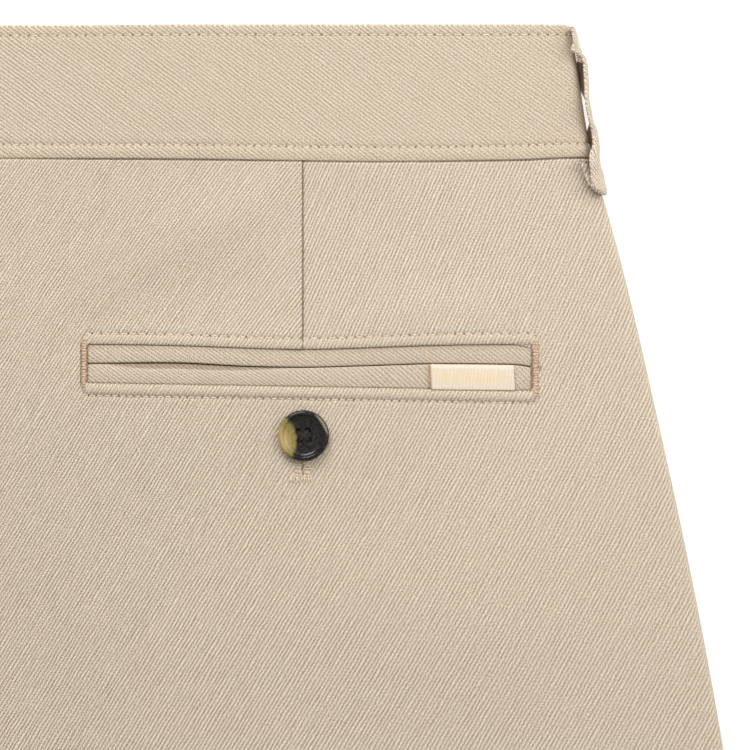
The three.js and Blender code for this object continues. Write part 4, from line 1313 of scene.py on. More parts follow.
def band_section():
    """Closed section of the waistband: drops down its outer face, round its lower edge, and back inside.

    Returns the drop and the depth below the outer face at each point.
    """
    radius = BAND_WALL / 2
    corner = 0.25
    deep = BAND_DEEP - GAP / 2
    outer = steps((radius, 0.5), (BAND_STITCH_TOP - 0.9, 0.3), (BAND_STITCH_TOP + 0.9, 1.4),
                  (BAND_STITCH_SEAM - 3.0, 0.5), (BAND_STITCH_SEAM - 0.9, 0.3),
                  (BAND_STITCH_SEAM + 0.9, 0.45), (deep - corner, 0.4))
    quarter = np.linspace(0, QUARTER, 5)[1:]
    half_turn = np.linspace(0, math.pi, 9)[1:-1]
    inner = np.linspace(deep - radius, radius, 9)
    down = np.concatenate([outer, deep - corner + corner * np.sin(quarter), [deep, deep - corner], inner,
                           radius - radius * np.sin(half_turn)])
    depth = np.concatenate([np.zeros(len(outer)), corner * (1 - np.cos(quarter)),
                            [BAND_WALL - corner, BAND_WALL], np.full(len(inner), BAND_WALL),
                            radius * (1 + np.cos(half_turn))])
    return down[:, None], depth[:, None]


def band_place(side, down, depth, share, turn, front_x):
    """Points of the waistband at a drop and depth, and their distances along it.

    It is flat at the back, half an ellipse at the side and flat in front. share is the part of the way
    to the fold, turn the angle round it, and front_x the distance from the centre line in front, or nan
    behind.
    """
    edge = mix(BAND_TOP_HALF, BAND_SEAM_HALF, down / BAND_DEEP)
    fold_x = edge - BAND_FOLD
    flat = np.where(np.isnan(front_x), mix(GAP / 2, fold_x, share), np.nan_to_num(front_x))
    x = flat + BAND_FOLD * np.sin(turn)
    in_front = turn > math.pi - 1e-6
    dip = np.where(in_front, FRONT_DIP * (1 - (x / fold_x) ** 2), 0)
    top = band_height(x, down)
    step = LAP_UNDER if side > 0 else 0.0
    bottom = front_lift(side * x, down) + step * ease(x, *LAP_CLIMB)
    behind = (1 + np.cos(turn)) / 2
    z = mix(bottom, top, behind)
    sag = behind * mix(-0.3 * ease(x, 60.0, 100.0), seam_sag(x), down / BAND_DEEP)
    run = np.where(in_front, fold_x + math.pi * BAND_FOLD + fold_x - x, flat + BAND_FOLD * turn)
    proud = band_detail(side * run, down) * hump(depth, 0.9) - depth
    proud = np.where(in_front, np.minimum(proud, -depth), proud)
    level = np.maximum(z + proud * np.cos(turn), 0)
    return place(side * (x + proud * np.sin(turn)), down + dip + sag, level), side * run


def band_columns(side, back, turns, front, short):
    """Share, angle and front distance along a band half, for so many columns behind, round and in front.

    The columns in front begin 4 mm inside the fold, and stop short of the half's end by so many mm.
    """
    share = np.concatenate([np.linspace(0, 1, back, endpoint=False), np.ones(turns + front)])
    turn = np.concatenate([np.zeros(back), np.linspace(0, math.pi, turns), np.full(front, math.pi)])
    front_x = np.linspace(BAND_TOP_HALF - BAND_FOLD - 4, short - LAP[side], front)
    return share[None], turn[None], np.concatenate([np.full(back + turns, np.nan), front_x])[None]


def band_half(side):
    """One half of the waistband, from the centre back round the side to its end in front."""
    name = SIDE_NAMES[side]
    fine = 0.6 if side > 0 else 1.1
    down, depth = band_section()
    columns = band_columns(side, round(217 / fine), 17, 105, 0)
    points, run = band_place(side, down, depth, *columns)
    down = np.broadcast_to(down, run.shape)
    sewn = sewn_map([
        (np.abs(down - stitched) + 3 * (depth > 0.1), run / pitch) for stitched, pitch in BAND_ROWS
    ])
    weave = WALE_PITCH * weave_map(run, -down - 2 * depth, STRIP_WALES)
    maps = cloth_maps(weave, sewn, closed=True)
    piece = surface(f"waistband_{name}_cloth", points, SHADED_TWILL_COPY, "twill", maps, closed=True, caps=True,
                    flip=side < 0)
    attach(piece, "root")
    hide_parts(f"waistband_{name}")


for half in SIDE_NAMES:
    band_half(half)

# ---------------------------------------------------------------- front of the legs


def front_height(side, x, drop):
    """Height of a front's outer face, which rests on the surface, the right one on the left's lap."""
    dip = FRONT_DIP * (1 - np.minimum(1, (x / side_at(drop)) ** 2))
    step = FLY_THICK if side > 0 else 0.0
    return front_lift(x, drop - dip) + fly_step(side * x, drop, step)


def front_inner(side, drop):
    """Inner edge of a front: the left one's fly lap reaches past the centre and curves back below."""
    lap = (FLY_LAP + GAP / 2) * ease(drop, FLY_END + FLY_CURVE, FLY_END) if side < 0 else 0.0
    return inside_at(drop) - lap


def front_grid(side, shares, downs, inner_turns, outer_turns):
    """Outer face of a front: from its inner edge to the slanted mouth, and below it to the side seam.

    Returns the distance from the centre line, the drop and the height.
    """
    share = np.concatenate([np.zeros(len(inner_turns)), shares, np.ones(len(outer_turns))])[None]
    inner = np.concatenate([inner_turns, np.zeros(len(shares) + len(outer_turns))])[None]
    outer = np.concatenate([np.zeros(len(inner_turns) + len(shares)), outer_turns])[None]
    base = mix(BAND_DEEP, LENGTH, downs)[:, None]
    reached = np.minimum(slant_at(base), side_at(base))
    across = mix(front_inner(side, base), reached, share) / side_at(base)
    drop = mix(BAND_DEEP + GAP / 2 + FRONT_DIP * (1 - across**2), LENGTH - HEM_RISE * across,
               downs[:, None])
    edge = np.minimum(slant_at(drop), side_at(drop))
    folded = ease(drop, *SLANT_CLOSES)
    flat = mix(front_inner(side, drop) + FOLD, edge - FOLD, share)
    reach = mix(outer / QUARTER, np.sin(outer), folded)
    x = flat + FOLD * (reach - np.sin(inner))
    fallen = (1 - np.cos(outer)) * folded + inseam_turn(drop) * (1 - np.cos(inner))
    z = mix(front_height(side, side * x, drop), SEAM_RISE - GAP / 2, fallen)
    return x, drop, z


def front_panel(side):
    """One front panel: a sheet whose face is down, with its slanted pocket mouth and the fly's lap."""
    name = SIDE_NAMES[side]
    downs = np.concatenate([np.linspace(0, 0.5, 60, endpoint=False),
                            np.linspace(0.5, 0.9, 24, endpoint=False), np.linspace(0.9, 1, 14)])
    turns = np.linspace(0, QUARTER, 8)
    x, drop, z = front_grid(side, np.linspace(0, 1, 80)[1:-1], downs, turns[:0:-1], turns)
    mouth = np.abs(slant_at(drop) - x) / SLANT_LEAN
    rows = [(np.abs(mouth - inside) + ABSENT * (drop > SLANT_END), drop / PITCH_BAND_TOP)
            for inside in SLANT_STITCHES]
    sewn = sewn_map([*rows, (np.abs(drop - hem_line(x)), x / PITCH_HEM)])
    piece = surface(f"front_{name}_cloth", place(side * x, drop, z), TWILL, "twill",
                    cloth_maps(weave_map(side * x, -drop, FRONT_WALES), sewn), flip=side > 0)
    thicken(piece, CLOTH)
    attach(piece, "root")
    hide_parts(f"front_{name}")


def slant_facing(side):
    """Piece behind a slanted mouth: it carries the front on to the side seam, one wall further in."""
    name = SIDE_NAMES[side]
    inset = CLOTH + GAP + 0.2
    downs = np.linspace(0, 1, 34)[:, None]
    shares = np.concatenate([np.linspace(0, 1, 18), np.ones(8)])[None]
    angle = np.concatenate([np.zeros(18), np.linspace(0, QUARTER, 9)[1:]])[None]
    middle = mix(BAND_DEEP + GAP / 2, SLANT_END + 12, downs)
    start = slant_at(np.minimum(middle, SLANT_END - 8)) - SLANT_UNDER
    end = side_at(middle) - FOLD
    flat = mix(start, end, shares)
    drop = middle + (1 - downs) * FRONT_DIP * np.maximum(0, 1 - (flat / side_at(middle)) ** 2)
    level = front_height(side, side * (flat + FOLD * np.sin(angle)), drop)
    x = flat + (FOLD - inset) * np.sin(angle)
    z = mix(level, SEAM_RISE - GAP / 2, 1 - np.cos(angle)) + inset * np.cos(angle)
    piece = surface(f"front_pocket_facing_{name}_cloth", place(side * x, drop, z), TWILL, "twill",
                    cloth_maps(weave_map(side * x, -drop, FRONT_WALES)), flip=side > 0)
    thicken(piece, FACING_THICK)
    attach(piece, "root")
    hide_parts(f"front_pocket_facing_{name}")


for leg in SIDE_NAMES:
    front_panel(leg)
    slant_facing(leg)

# ---------------------------------------------------------------- fly


def fly_strip(name, columns, drops, level, thick, cloth, slot, maps):
    """Flat strip inside the fly, face down, at a height that follows the lift of the front below it."""
    x, drop = np.meshgrid(columns, drops)
    z = front_lift(x, drop - FRONT_DIP) + level
    piece = surface(name, place(x, drop, z), cloth, slot, maps(x, drop), flip=True)
    thicken(piece, thick)
    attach(piece, "root")
    return piece


def zip_teeth():
    """Closed chain of the zip: two rows of small blocks that lie between each other."""
    drops = np.arange(CHAIN_TOP, ZIP_END - 2, TOOTH_PITCH)
    centres = np.concatenate([
        np.stack([np.full(len(drops), CHAIN_MIDDLE + aside), drops + later], axis=1)
        for aside, later in ((-TOOTH_ASIDE, 0), (TOOTH_ASIDE, TOOTH_PITCH / 2))
    ])
    level = front_lift(centres[:, 0], centres[:, 1] - FRONT_DIP) + CHAIN_HEIGHT
    corners = np.array([(sx, sy, sz) for sz in (-1, 1) for sy in (-1, 1) for sx in (-1, 1)]) / 2
    taper = 1 - 0.25 * (corners[:, 2:] < 0)
    block = corners * TOOTH * np.concatenate([taper, taper, np.ones((8, 1))], axis=1)
    middle = place(centres[:, 0], centres[:, 1], level)
    points = middle[:, None, :] + block * MM
    quads = np.array([(0, 2, 3, 1), (4, 5, 7, 6), (0, 1, 5, 4), (2, 6, 7, 3), (0, 4, 6, 2),
                      (1, 3, 7, 5)])
    shift = (np.arange(len(centres)) * 8)[:, None, None]
    piece = new_mesh("fly_zip_teeth", points.reshape(-1, 3), [(quads + shift).reshape(-1, 4)], BRASS, {},
                     "zip_metal", smooth=False)
    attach(piece, "root")
    return piece


def fly():
    """Inside of the fly: the zip's tape with its teeth, the shield behind it, and the slider."""
    tape = fly_strip("fly_zip_tape", np.linspace(-ZIP_LEFT, ZIP_RIGHT, 14),
                     np.linspace(ZIP_TOP, ZIP_END, 60), TAPE_HEIGHT, TAPE_THICK, ZIP_TAPE, "zip_tape",
                     lambda x, drop: {"weave": np.stack([x, drop], axis=-1)})
    teeth = zip_teeth()
    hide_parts("fly_zip")
    shield = fly_strip("fly_shield_cloth", np.linspace(-SHIELD_LEFT, SHIELD_RIGHT, 16),
                       np.linspace(BAND_DEEP + FRONT_DIP + 1, SHIELD_END, 60), SHIELD_HEIGHT,
                       SHIELD_THICK, TWILL, "twill",
                       lambda x, drop: cloth_maps(weave_map(x, -drop, FRONT_WALES)))
    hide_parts("fly_shield")
    slider = frame["nodes"]["fly_zip_slider"]
    slider.data.materials.clear()
    slider.data.materials.append(BRASS)


fly()

# ---------------------------------------------------------------- back pockets


def gape_at(x):
    """How far a pocket's mouth gapes, 0 to 1: its lower lip has sagged a little nearer the centre."""
    away = np.abs(x)
    return ease(away, *GAPE_INNER) * ease(away, *GAPE_OUTER)


def welt_face(x, share):
    """Depth of a welt's face below the panel: a soft roll with slight ripples towards the mouth."""
    ripple = 0.04 * np.sin(x * 0.7 + 1.4 * np.sin(x * 0.13)) * share
    return WELT_SUNK - 0.24 * np.sin(math.pi * share) + ripple


def welt_section(upper):
    """Section of a welt, from its flange's edge under the panel, across its face and back beneath it.

    Columns: share of the way to the lip, distance beyond it and what a gaping mouth adds, depth below
    the panel's face and what a gaping mouth adds; nan takes the depth of the rolled face.
    """
    groove = [(0, -3.0, 0, 1.6, 0), (0, -0.8, 0, 1.6, 0), (0, -0.15, 0, 1.5, 0), (0, 0.0, 0, 0.5, 0)]
    face = [(share, 0, 0, np.nan, 0) for share in np.linspace(0.02, 0.9, 12)]
    back = [(1, -0.25, 1.24, 1.8, 0.1), (1, -0.7, 1.0, 2.1, 0), (0.5, 0, 0, 2.3, 0), (0, 0, 0, 2.3, 0),
            (0, -3.0, 0, 2.3, 0)]
    if upper:
        groove[-1] = (0, 0.08, 0, 1.0, 0)
        lip = [(1, -0.3, 0, np.nan, 0), (1, -0.1, 0, 0.5, 0), (1, 0, 0, 0.8, 0), (1, -0.05, 0, 1.3, 0)]
        back[0] = (1, -0.25, 0, 1.8, 0)
        back[1] = (1, -0.7, 0, 2.1, 0)
    else:
        lip = [(1, -0.3, 0, np.nan, 0), (1, -0.1, 0, 0.45, 0), (1, 0, 0.02, 0.62, 0.2),
               (1, 0.03, 0.1, 0.72, 0.25), (1, 0.04, 0.7, 0.76, 0.3), (1, 0.05, 1.5, 0.82, 0.3),
               (1, 0.0, 1.56, 1.3, 0.2)]
    return np.array(groove + face + lip + back)


def welt(side, upper):
    """One welt of a back pocket: a rolled strip between the window's edge and the mouth."""
    share, beyond, further, deep, deeper = (column[:, None] for column in welt_section(upper).T)
    fine = 0.8 if side > 0 else 1.4
    away = steps(
        (POCKET_LEFT - 3, 0.7), (POCKET_LEFT - WELT_STEP, WELT_STEP), (POCKET_LEFT, 0.3),
        (POCKET_LEFT + 1, fine), (POCKET_RIGHT - 1, 0.3), (POCKET_RIGHT, WELT_STEP),
        (POCKET_RIGHT + WELT_STEP, 0.7), (POCKET_RIGHT + 3, 0.7),
    )[None]
    x = side * away
    held = np.clip(away, POCKET_LEFT, POCKET_RIGHT)
    edge = window_edge(held) if upper else window_bottom(held)
    inward = 1 if upper else -1
    gape = gape_at(x)
    opening = LIP_UPPER if upper else LIP_LOWER + LIP_GAPE * gape
    lip = mouth_at(held) - inward * opening
    drop = mix(edge, lip, share) + inward * (beyond + further * gape)
    depth = np.where(np.isnan(deep), welt_face(x, np.minimum(share, 0.97)), deep + deeper * gape)
    inside = (ease(away, POCKET_LEFT - WELT_STEP, POCKET_LEFT - 0.01)
              * ease(away, POCKET_RIGHT + WELT_STEP, POCKET_RIGHT + 0.01))
    depth = mix(np.maximum(depth, WELT_FLANGE), depth, inside)
    z = back_height(x, drop) + folds_at(CREASES, x, drop) - depth
    x = np.broadcast_to(x, z.shape)
    across = share * WELT_WIDE + beyond + further * gape
    fallen = np.where(np.isnan(deep), 0.3, deep)
    around = np.cumsum(np.hypot(np.diff(across, axis=0, prepend=across[:1]),
                                np.diff(fallen, axis=0, prepend=fallen[:1])), axis=0)
    # Painted shade: on the upper welt under the rim's edge, and on the lower welt's sunken strip where
    # the mouth gapes.
    if upper:
        shaded = (np.where(share < 0.95, share * 1.1, FAR), 0.16)
    else:
        shaded = (np.where((share >= 1) & (beyond > -0.05), 0.0, FAR), 0.42 * np.minimum(1, 3 * gape))
    shaded = np.stack(np.broadcast_arrays(*shaded, z)[:2], axis=-1)
    maps = cloth_maps(weave_map(x, -inward * around, STRIP_WALES), seam=shaded, closed=True)
    name = f"{'upper' if upper else 'lower'}_welt_{SIDE_NAMES[side]}"
    piece = surface(f"back_pocket_{name}_cloth", place(x, drop, z), SHADED_TWILL_COPY, "twill", maps,
                    closed=True, caps=True, flip=(side > 0) != upper)
    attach(piece, "root")
    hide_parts(f"back_pocket_{name}")


def pocket_tab():
    """Folded ribbon tab of the right pocket: it comes up out of the mouth and lies on the lower welt."""
    down = np.array([0, 0.03, 0.08, 0.14, *np.linspace(0.2, 0.94, 14), 1.0])
    rise = -0.9 * ease(down, 0.12, 0.0) + 0.12 * np.sin(math.pi * down)
    edge = np.linspace(0, math.pi, 7)[1:-1]
    share = np.concatenate([down, np.ones(5), down[::-1]])[:, None]
    beyond = np.concatenate([np.zeros(len(down)), 0.3 * np.sin(edge), np.zeros(len(down))])[:, None]
    lift = np.concatenate([rise + TAB_THICK, TAB_THICK * (1 + np.cos(edge)) / 2, rise[::-1]])[:, None]
    along_tab = np.concatenate([[0, 0.12], np.linspace(0.5, 24.5, 34), [24.88, TAB_WIDE]])[None]
    half = TAB_WIDE / 2
    x = mix(TAB_LEFT, TAB_RIGHT, along_tab / TAB_WIDE) + 0.35 * (share - 0.5)
    drop = mix(TAB_TOP, TAB_BOTTOM, share) + beyond + 0.012 * (along_tab - half)
    bow = 0.12 * ((along_tab - half) / half) ** 2
    z = back_height(x, drop) + folds_at(CREASES, x, drop) + 0.02 + bow + lift
    weave = np.stack(np.broadcast_arrays(along_tab, share * TAB_DEEP), axis=-1)
    piece = surface("back_pocket_tab_ribbon", place(x, drop, z), RIBBON, "ribbon",
                    {"weave": closed_rows(weave)}, closed=True, caps=True)
    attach(piece, "root")
    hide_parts("back_pocket_tab")


for pocket in SIDE_NAMES:
    for is_upper in (True, False):
        welt(pocket, is_upper)
pocket_tab()

# ---------------------------------------------------------------- buttons

# Button's profile from the middle of its face to the middle of its back: radius, height. Its holes lie
# in the shallow dish that comes first.
BUTTON_DISH = [(0.04, 1.30), *[(r, 1.30 + 0.006 * r * r) for r in np.arange(0.2, 3.6, 0.14)]]
BUTTON_PROFILE = [
    *BUTTON_DISH, (4.2, 1.42), (5.0, 1.5), (5.6, 1.62), (5.95, 1.84), (6.15, 2.1), (6.3, 2.28),
    (6.5, 2.38), (6.75, 2.4), (7.0, 2.34), (7.2, 2.22), (7.38, 2.04), (7.52, 1.8), (7.6, 1.5),
    (7.6, 1.1), (7.5, 0.75), (7.2, 0.4), (6.7, 0.14), (6.2, 0.04), (4.0, 0.0), (0.04, 0.0),
]
BUTTON_WELL = 1.25

# Places of a button's four holes, with the button unturned: each lies opposite the one two further on.
BUTTON_HOLES = np.array([(1, 1), (-1, 1), (-1, -1), (1, -1)]) * BUTTON_PITCH / 2


def button(name, replaced, x, drop, z, turn, face_down=False):
    """Sew-through button: its profile turned round its axis, with four wells sunk for its holes.

    A well is one less a smooth step of the distance from the hole's centre, with a low bell curve
    round it.
    """
    radius, height = np.array(BUTTON_PROFILE).T[:, None, :]
    angle = np.linspace(0, TURN, 120, endpoint=False)[:, None]
    right = radius * np.cos(angle)
    up = radius * np.sin(angle)
    in_dish = np.arange(len(BUTTON_PROFILE))[None] < len(BUTTON_DISH)
    away = np.min([np.hypot(right - hx, up - hy) for hx, hy in BUTTON_HOLES], axis=0)
    well = ease(away, BUTTON_HOLE + 0.12, BUTTON_HOLE - 0.08) * in_dish
    height = height - BUTTON_WELL * well + 0.05 * hump(away - BUTTON_HOLE - 0.25, 0.16) * in_dish
    c, s = cos_sin(turn)
    points = place(x + right * c - up * s, drop - right * s - up * c,
                   z + (BUTTON_THICK - height if face_down else height))
    face = np.stack([right, up], axis=-1) / BUTTON_RADIUS
    piece = surface(name, points, HORN, "horn_button", {"face": closed_rows(face)}, closed=True,
                    caps=True, flip=not face_down)
    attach(piece, "root")
    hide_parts(replaced)


def button_thread(x, drop, z, turn):
    """Rows of the thread that crosses a button's face between opposite holes, three strands each way."""
    c, s = cos_sin(turn)
    rows = []
    for first, level in ((0, 1.5), (1, 1.68)):
        a, b = BUTTON_HOLES[first], BUTTON_HOLES[first + 2]
        long = np.linalg.norm(a - b)
        beside = np.array([a[1] - b[1], b[0] - a[0]]) / long
        for strand in (-0.3, 0.0, 0.3):
            right, up = (np.stack([a, b]) + beside * strand).T
            path = place(np.linspace(*(x + right * c - up * s), 9),
                         np.linspace(*(drop - right * s - up * c), 9), z + level)
            rows.append(one_thread(path, (0, 0, 1), long, 0.16))
    return rows


def button_shank(name, x, drop, base, top):
    """Wound thread under a button: a short post whose radius swells and dips in rings."""
    height = np.linspace(base, top, 13)[None]
    angle = np.linspace(0, TURN, 20, endpoint=False)[:, None]
    radius = 1.7 + 0.12 * np.cos(height * TURN / 0.36 + angle)
    points = place(x + radius * np.cos(angle), drop - radius * np.sin(angle), height)
    piece = surface(name, points, DARK_THREAD, "twill", closed=True, caps=True)
    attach(piece, "root")


strands = []
for pocket, name in SIDE_NAMES.items():
    button_x = pocket * BUTTON_X
    cloth_z = float(back_height(button_x, BUTTON_DROP))
    back_z = cloth_z + 0.45
    button(f"back_pocket_button_{name}_horn", f"back_pocket_button_{name}", button_x, BUTTON_DROP,
           back_z, BUTTON_TURN)
    strands += button_thread(button_x, BUTTON_DROP, back_z, BUTTON_TURN)
    button_shank(f"button_shank_{name}", button_x, BUTTON_DROP, cloth_z - 0.4, cloth_z + 0.5)
button("waist_button_horn", "waist_button", 0.0, WAIST_BUTTON_DROP + FRONT_DIP, 0.0, BUTTON_TURN,
       face_down=True)
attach(sewing("button_thread", strands, DARK_THREAD), "root")

# ---------------------------------------------------------------- belt loops


def loop_strip(name, replaced, middles, widths, outwards=None, bends=None, tuck=None):
    """Belt loop: a rounded strip carried along its course, its edges a little thicker than its middle.

    middles are points in mm and widths unit vectors across the strip. A bent strip is an arc across:
    outwards are the directions that its middle bulges to, bends one over its radius, and tuck how far
    its upper edge is drawn up. Its inner side has painted shade where it is bent enough to close on
    itself.
    """
    outwards = np.cross(widths, (0.0, 1.0, 0.0)) if outwards is None else outwards
    bends = np.full(len(middles), 0.001) if bends is None else bends
    tuck = np.zeros(len(middles)) if tuck is None else tuck
    forward = unit(np.gradient(middles, axis=0))
    out = unit(np.cross(widths, forward))
    half = LOOP_WIDE / 2
    flat = np.array([-4.0, -3.4, -2.9, -2.4, -1.2, 0, 1.2, 2.4, 2.9, 3.4, 4.0])
    swell = np.array([0.42, 0.5, 0.44, 0.46, 0.42, 0.4, 0.42, 0.46, 0.44, 0.5, 0.42])
    edge = np.array([half - 0.08, half, half - 0.08])
    across = np.concatenate([flat, edge, flat[::-1], -edge])
    rise = np.concatenate([swell, [0.28, 0, -0.28], -swell[::-1], [-0.28, 0, 0.28]])
    angle = across[:, None] * bends
    c, s = np.cos(angle)[:, :, None], np.sin(angle)[:, :, None]
    centre = middles + (widths * s - outwards * (1 - c)) / bends[:, None]
    lift = np.sum(out * outwards, axis=1)
    normal = out + lift[:, None] * (outwards * (c - 1) + widths * s)
    points = centre + rise[:, None, None] * normal
    points[:, :, 1] += tuck * np.clip(across / half, 0, 1)[:, None] ** 2
    # Painted shade on the inner side where the strip is bent enough to close on itself, carried in the
    # seam map.
    inner = rise[:, None] * lift < 0
    shade = np.broadcast_to(0.8 * ease(bends, 0.08, 0.16), inner.shape)
    seam = np.stack([np.where(inner, 0.0, FAR), shade], axis=-1)
    weave = weave_map(across[:, None], -run_along(middles)[None], LOOP_WALES)
    maps = cloth_maps(weave, seam=seam, closed=True)
    piece = surface(name, points * MM, TWILL, "twill", maps, closed=True, caps=True, flip=True)
    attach(piece, "root")
    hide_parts(replaced)


def course_up(x, base):
    """Points in mm up a loop that stands on a height, and its width along the X axis."""
    course = smooth_course(LOOP_COURSE, 4)
    drop, rise = course.T
    middles = np.stack([np.full(len(drop), x), TOP - drop, base(drop, rise)], axis=1)
    return middles, np.broadcast_to([1.0, 0.0, 0.0], middles.shape)


def back_loop():
    """Belt loop at the centre back, on the waistband and the seam below it."""
    def base(drop, rise):
        """Height of the loop's middle over the waistband, and over the seam lower down."""
        on_band = band_height(0, drop)
        on_leg = np.maximum(on_band, back_height(0.0, np.maximum(drop, BAND_DEEP)))
        return mix(on_band, on_leg, ease(drop, *LOOP_ON_LEG)) + rise

    loop_strip("belt_loop_centre_back_cloth", "belt_loop_centre_back", *course_up(0.0, base))


def front_loop(side):
    """Belt loop in front: its outer run lies on the surface."""
    name = SIDE_NAMES[side]
    middles, widths = course_up(side * LOOP_FRONT_X, lambda _, rise: LOOP_LIFT - np.minimum(rise, 2.2))
    middles[:, 1] -= FRONT_DIP * (1 - (LOOP_FRONT_X / side_at(BAND_DEEP)) ** 2)
    loop_strip(f"belt_loop_front_{name}_cloth", f"belt_loop_front_{name}", middles, widths)


def side_loop(side):
    """Belt loop on the side fold, seen on edge from above: it leans outwards more towards its foot.

    Each point lies out from the fold below it, along its lean, by the course's rise, and is slid up
    along the strip's width.
    """
    name = SIDE_NAMES[side]
    drop, rise, lean, slide, bend = smooth_course(SIDE_COURSE, 4).T
    angle = np.radians(lean)
    out = np.stack([np.cos(angle), np.sin(angle)], axis=1)
    up = np.stack([-np.sin(angle), np.cos(angle)], axis=1)
    band_edge = mix(BAND_TOP_HALF, BAND_SEAM_HALF, np.minimum(1, drop / BAND_DEEP))
    band_middle = np.stack([band_edge - BAND_FOLD, np.full(len(drop), BAND_HEIGHT / 2)], axis=1)
    leg_middle = np.stack([side_at(drop) - FOLD, np.full(len(drop), SEAM_RISE)], axis=1)
    band_reach = np.sum(band_middle * out, axis=1) + BAND_FOLD
    leg_reach = np.sum(leg_middle * out, axis=1) + LEG_REACH
    on_leg = ease(drop, *LOOP_ON_LEG)
    off_band = ease(drop, *LOOP_OFF_BAND)
    both = np.maximum(band_reach, leg_reach)
    reach = mix(mix(band_reach, both, on_leg), leg_reach, off_band)
    start = mix(band_middle, leg_middle, off_band[:, None])
    middle = start + out * (reach - np.sum(start * out, axis=1) + rise)[:, None] + up * slide[:, None]
    middles = np.stack([side * middle[:, 0], TOP - drop, middle[:, 1]], axis=1)
    widths = np.stack([side * up[:, 0], np.zeros(len(drop)), up[:, 1]], axis=1)
    outwards = np.stack([side * out[:, 0], np.zeros(len(drop)), out[:, 1]], axis=1)
    tuck = LOOP_TUCK * ease(drop, 45.5, 50.0)
    loop_strip(f"belt_loop_side_{name}_cloth", f"belt_loop_side_{name}", middles, widths, outwards,
               bend, tuck)


def loop_knot(side):
    """Rows of the knotted threads between the waistband's edge and its side loop, near the top."""
    rows = []
    for drop, level, turn in KNOT_THREADS:
        near = mix(BAND_TOP_HALF, BAND_SEAM_HALF, drop / BAND_DEEP) - 0.5
        path = place(side * np.linspace(near, near + 2.4, 9), drop + np.linspace(-turn, turn, 9), level)
        rows.append(stitch_row(path, (0, 0, 1), 2.7, 0.24, np.linspace(0, 2.7, 9), long=2.5))
    return rows


back_loop()
for half in SIDE_NAMES:
    front_loop(half)
    side_loop(half)

# ---------------------------------------------------------------- rows of stitches


def band_rows(side):
    """Both rows of stitches of a waistband half, round its side fold to the front."""
    share, turn, front_x = band_columns(side, 400, 40, 300, 2)
    up = np.stack([side * np.sin(turn[0]), np.zeros(turn.size), np.cos(turn[0])], axis=1)
    rows = []
    for down, pitch in BAND_ROWS:
        points, run = band_place(side, np.array([[down]]), np.zeros((1, 1)), share, turn, front_x)
        rows.append(stitch_row(points[0], up, pitch, BAND_THREAD, np.abs(run[0]), sink=0.03))
    return rows


def pocket_rows(side):
    """Rows of stitches above and below a back pocket, turning round the corners of its frame."""
    turns = np.linspace(QUARTER, 0, 12)
    straight = np.linspace(POCKET_LEFT, POCKET_RIGHT, 300)[1:-1]
    away = np.concatenate([POCKET_LEFT - RIM_END * np.sin(turns), straight,
                           POCKET_RIGHT + RIM_END * np.sin(turns[::-1])])
    out = RIM * np.concatenate([np.cos(turns), np.ones(len(straight)), np.cos(turns[::-1])])
    above = window_top(away) - out
    below = window_bottom(away) + out * RIM_LOW / RIM
    return [
        stitch_row(*on_back(side * away, drop), pitch, BACK_THREAD, rim_run(away, drop), sink=0.02)
        for drop, pitch in ((above, PITCH_RIM_TOP), (below, PITCH_RIM_BOTTOM))
    ]


def front_row(side, x, drop, pitch, run=None):
    """Row of stitches on a front's outer face, which is down."""
    path = place(x, drop, front_height(side, x, drop))
    return stitch_row(path, (0, 0, -1), pitch, FRONT_THREAD, run, sink=0.1)


def hem_rows(side):
    """Row of stitches round a hem: on the back, and on the front below it."""
    away = np.linspace(16.0, 286.0, 300)
    drop = hem_line(away)
    return [stitch_row(*on_back(side * away, drop), PITCH_HEM, BACK_THREAD, away),
            front_row(side, side * away, drop, PITCH_HEM, away)]


def slant_rows(side):
    """Two rows of stitches beside a slanted front mouth."""
    drop = np.linspace(BAND_DEEP + 4, SLANT_END - 6, 200)
    return [front_row(side, side * (slant_at(drop) - inside * SLANT_LEAN), drop, PITCH_BAND_TOP, drop)
            for inside in SLANT_STITCHES]


def fly_row():
    """The fly's curved row on the left front: straight down, then round to the centre."""
    start = FLY_END - FLY_SETTLE
    straight = np.linspace(BAND_DEEP + FRONT_DIP + 1, start, 120)
    bend = np.linspace(0, QUARTER, 60)[1:]
    curved = FLY_STITCH_END + (FLY_STITCH - FLY_STITCH_END) * np.cos(bend)
    x = -np.concatenate([np.full(len(straight), FLY_STITCH), curved])
    drop = np.concatenate([straight, start + FLY_BEND * np.sin(bend)])
    return front_row(-1, x, drop, PITCH_BAND_TOP)


def tack(side, start, end, first, last, apart=0.45, uneven=0.2, radius=0.2, upright=False):
    """Bartack on the back: uneven threads from start to end, side by side from first to last."""
    rows = []
    for k, at in enumerate(np.arange(first, last, apart)):
        shake = uneven * (math.sin(k * 2.4) + 0.6 * math.sin(k * 5.1))
        at = at + 0.6 * uneven * math.sin(k * 3.7)
        reach = np.linspace(start + shake, end + 0.5 * shake, 7)
        long = abs(reach[-1] - reach[0])
        path, up = on_back(side * at, reach) if upright else on_back(side * reach, at)
        rows.append(one_thread(path, up, long, radius, sink=-0.1))
    return rows


def buttonhole(side):
    """Buttonhole under a pocket's button: threads across its two edges, and a bartack at its foot."""
    inner = tack(side, DART_X - 2.4, DART_X - 0.4, 118.0, SLIT_END, 0.43, 0.4, 0.16)
    outer = tack(side, DART_X + 0.4, DART_X + 2.5, 118.3, SLIT_END, 0.43, 0.4, 0.16)
    foot = tack(side, SLIT_END, SLIT_END + 2.2, DART_X - 3.6, DART_X + 3.4, 0.43, 0.35, 0.16,
                upright=True)
    return inner + outer + foot


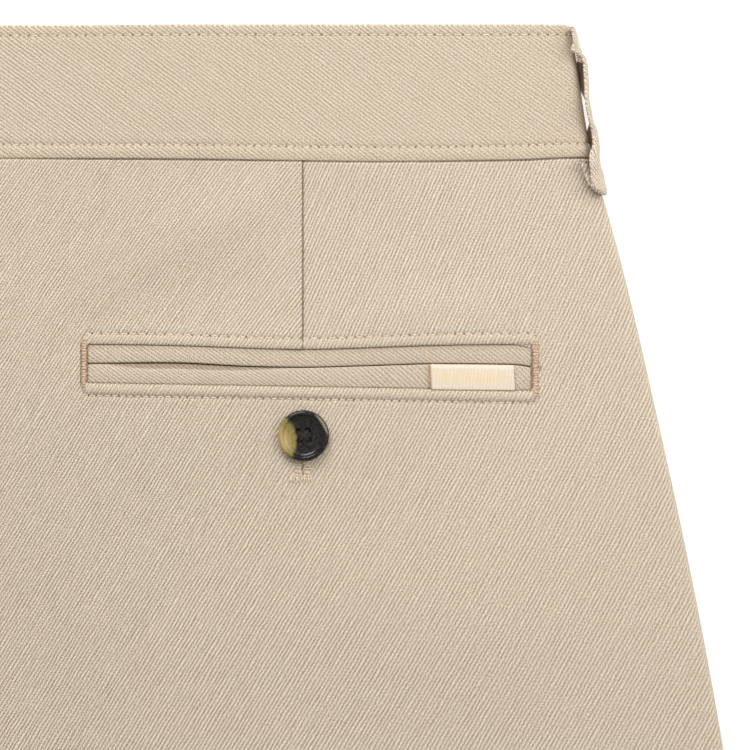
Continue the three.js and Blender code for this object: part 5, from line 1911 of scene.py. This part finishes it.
tonal = [fly_row()]
pale = []
tan = []
for half in SIDE_NAMES:
    tonal += band_rows(half) + pocket_rows(half) + hem_rows(half) + slant_rows(half) + buttonhole(half)
    pale += tack(half, POCKET_LEFT - 1.9, POCKET_LEFT - 0.5, 93.2, 107.6)
    pale += tack(half, POCKET_RIGHT + 0.5, POCKET_RIGHT + 2.4, 93.6, 110.0)
    pale += loop_knot(half)
    tan += tack(half, POCKET_LEFT - 0.6, POCKET_LEFT - 0.05, 95.2, 106.2, 0.6, 0.15, 0.15)
    tan += tack(half, POCKET_RIGHT + 0.1, POCKET_RIGHT + 0.6, 96.6, 107.4, 0.6, 0.15, 0.15)
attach(sewing("stitches", tonal, THREAD), "root")
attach(sewing("bartacks", pale, TACK_THREAD), "root")
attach(sewing("bartack_edges", tan, TAN_THREAD), "root")

# ---------------------------------------------------------------- stage

FLOOR_REACH = 3000.0
FLOOR_HEIGHT = -0.05
CAMERA_LENS = 120.0
FOCUS_HEIGHT = 6.0
SKY_STRENGTH = 0.455


def floor():
    """Plain pale floor under the shorts."""
    made, _, inputs = material("pale floor", 0.9)
    inputs["Base Color"].default_value = (0.9, 0.9, 0.9, 1)
    inputs["Emission Color"].default_value = (1, 1, 1, 1)
    inputs["Emission Strength"].default_value = 0.35
    grid = np.linspace(-FLOOR_REACH, FLOOR_REACH, 3)
    points = place(grid[None, :], TOP - grid[::-1][:, None], np.full((3, 3), FLOOR_HEIGHT))
    piece = surface("floor", points, made, "")
    del piece["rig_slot"]
    piece["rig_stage"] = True


def lamp(name, at, towards, size, power):
    """Square soft white light at a point, turned towards another, in metres and watts."""
    data = bpy.data.lights.new(name, "AREA")
    data.shape = "SQUARE"
    data.size = size
    data.energy = power
    made = bpy.data.objects.new(name, data)
    bpy.context.scene.collection.objects.link(made)
    made.location = at
    direction = Vector(towards) - Vector(at)
    made.rotation_euler = direction.to_track_quat("-Z", "Y").to_euler()


def camera(x, drop, wide):
    """Camera straight above a point of the back, as high as its lens needs for a view of that width."""
    data = bpy.data.cameras.new("camera")
    data.lens = CAMERA_LENS
    data.clip_start = 0.01
    made = bpy.data.objects.new("camera", data)
    bpy.context.scene.collection.objects.link(made)
    made.location = place(x, drop, wide * CAMERA_LENS / data.sensor_width + FOCUS_HEIGHT)
    bpy.context.scene.camera = made


floor()
camera(x=155.9, drop=104.0, wide=222.8)
lamp("key light", at=(-0.08, 0.80, 0.60), towards=(0.16, 0.14, 0.0), size=0.45, power=5.65)
lamp("side light", at=(0.66, 0.40, 0.56), towards=(0.2, 0.14, 0.0), size=0.6, power=3.15)
world = bpy.data.worlds.new("studio")
bpy.context.scene.world = world
world.use_nodes = True
background = world.node_tree.nodes["Background"].inputs
background["Color"].default_value = (1, 1, 1, 1)
background["Strength"].default_value = SKY_STRENGTH
bpy.context.scene.view_settings.view_transform = "Standard"

low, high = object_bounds()
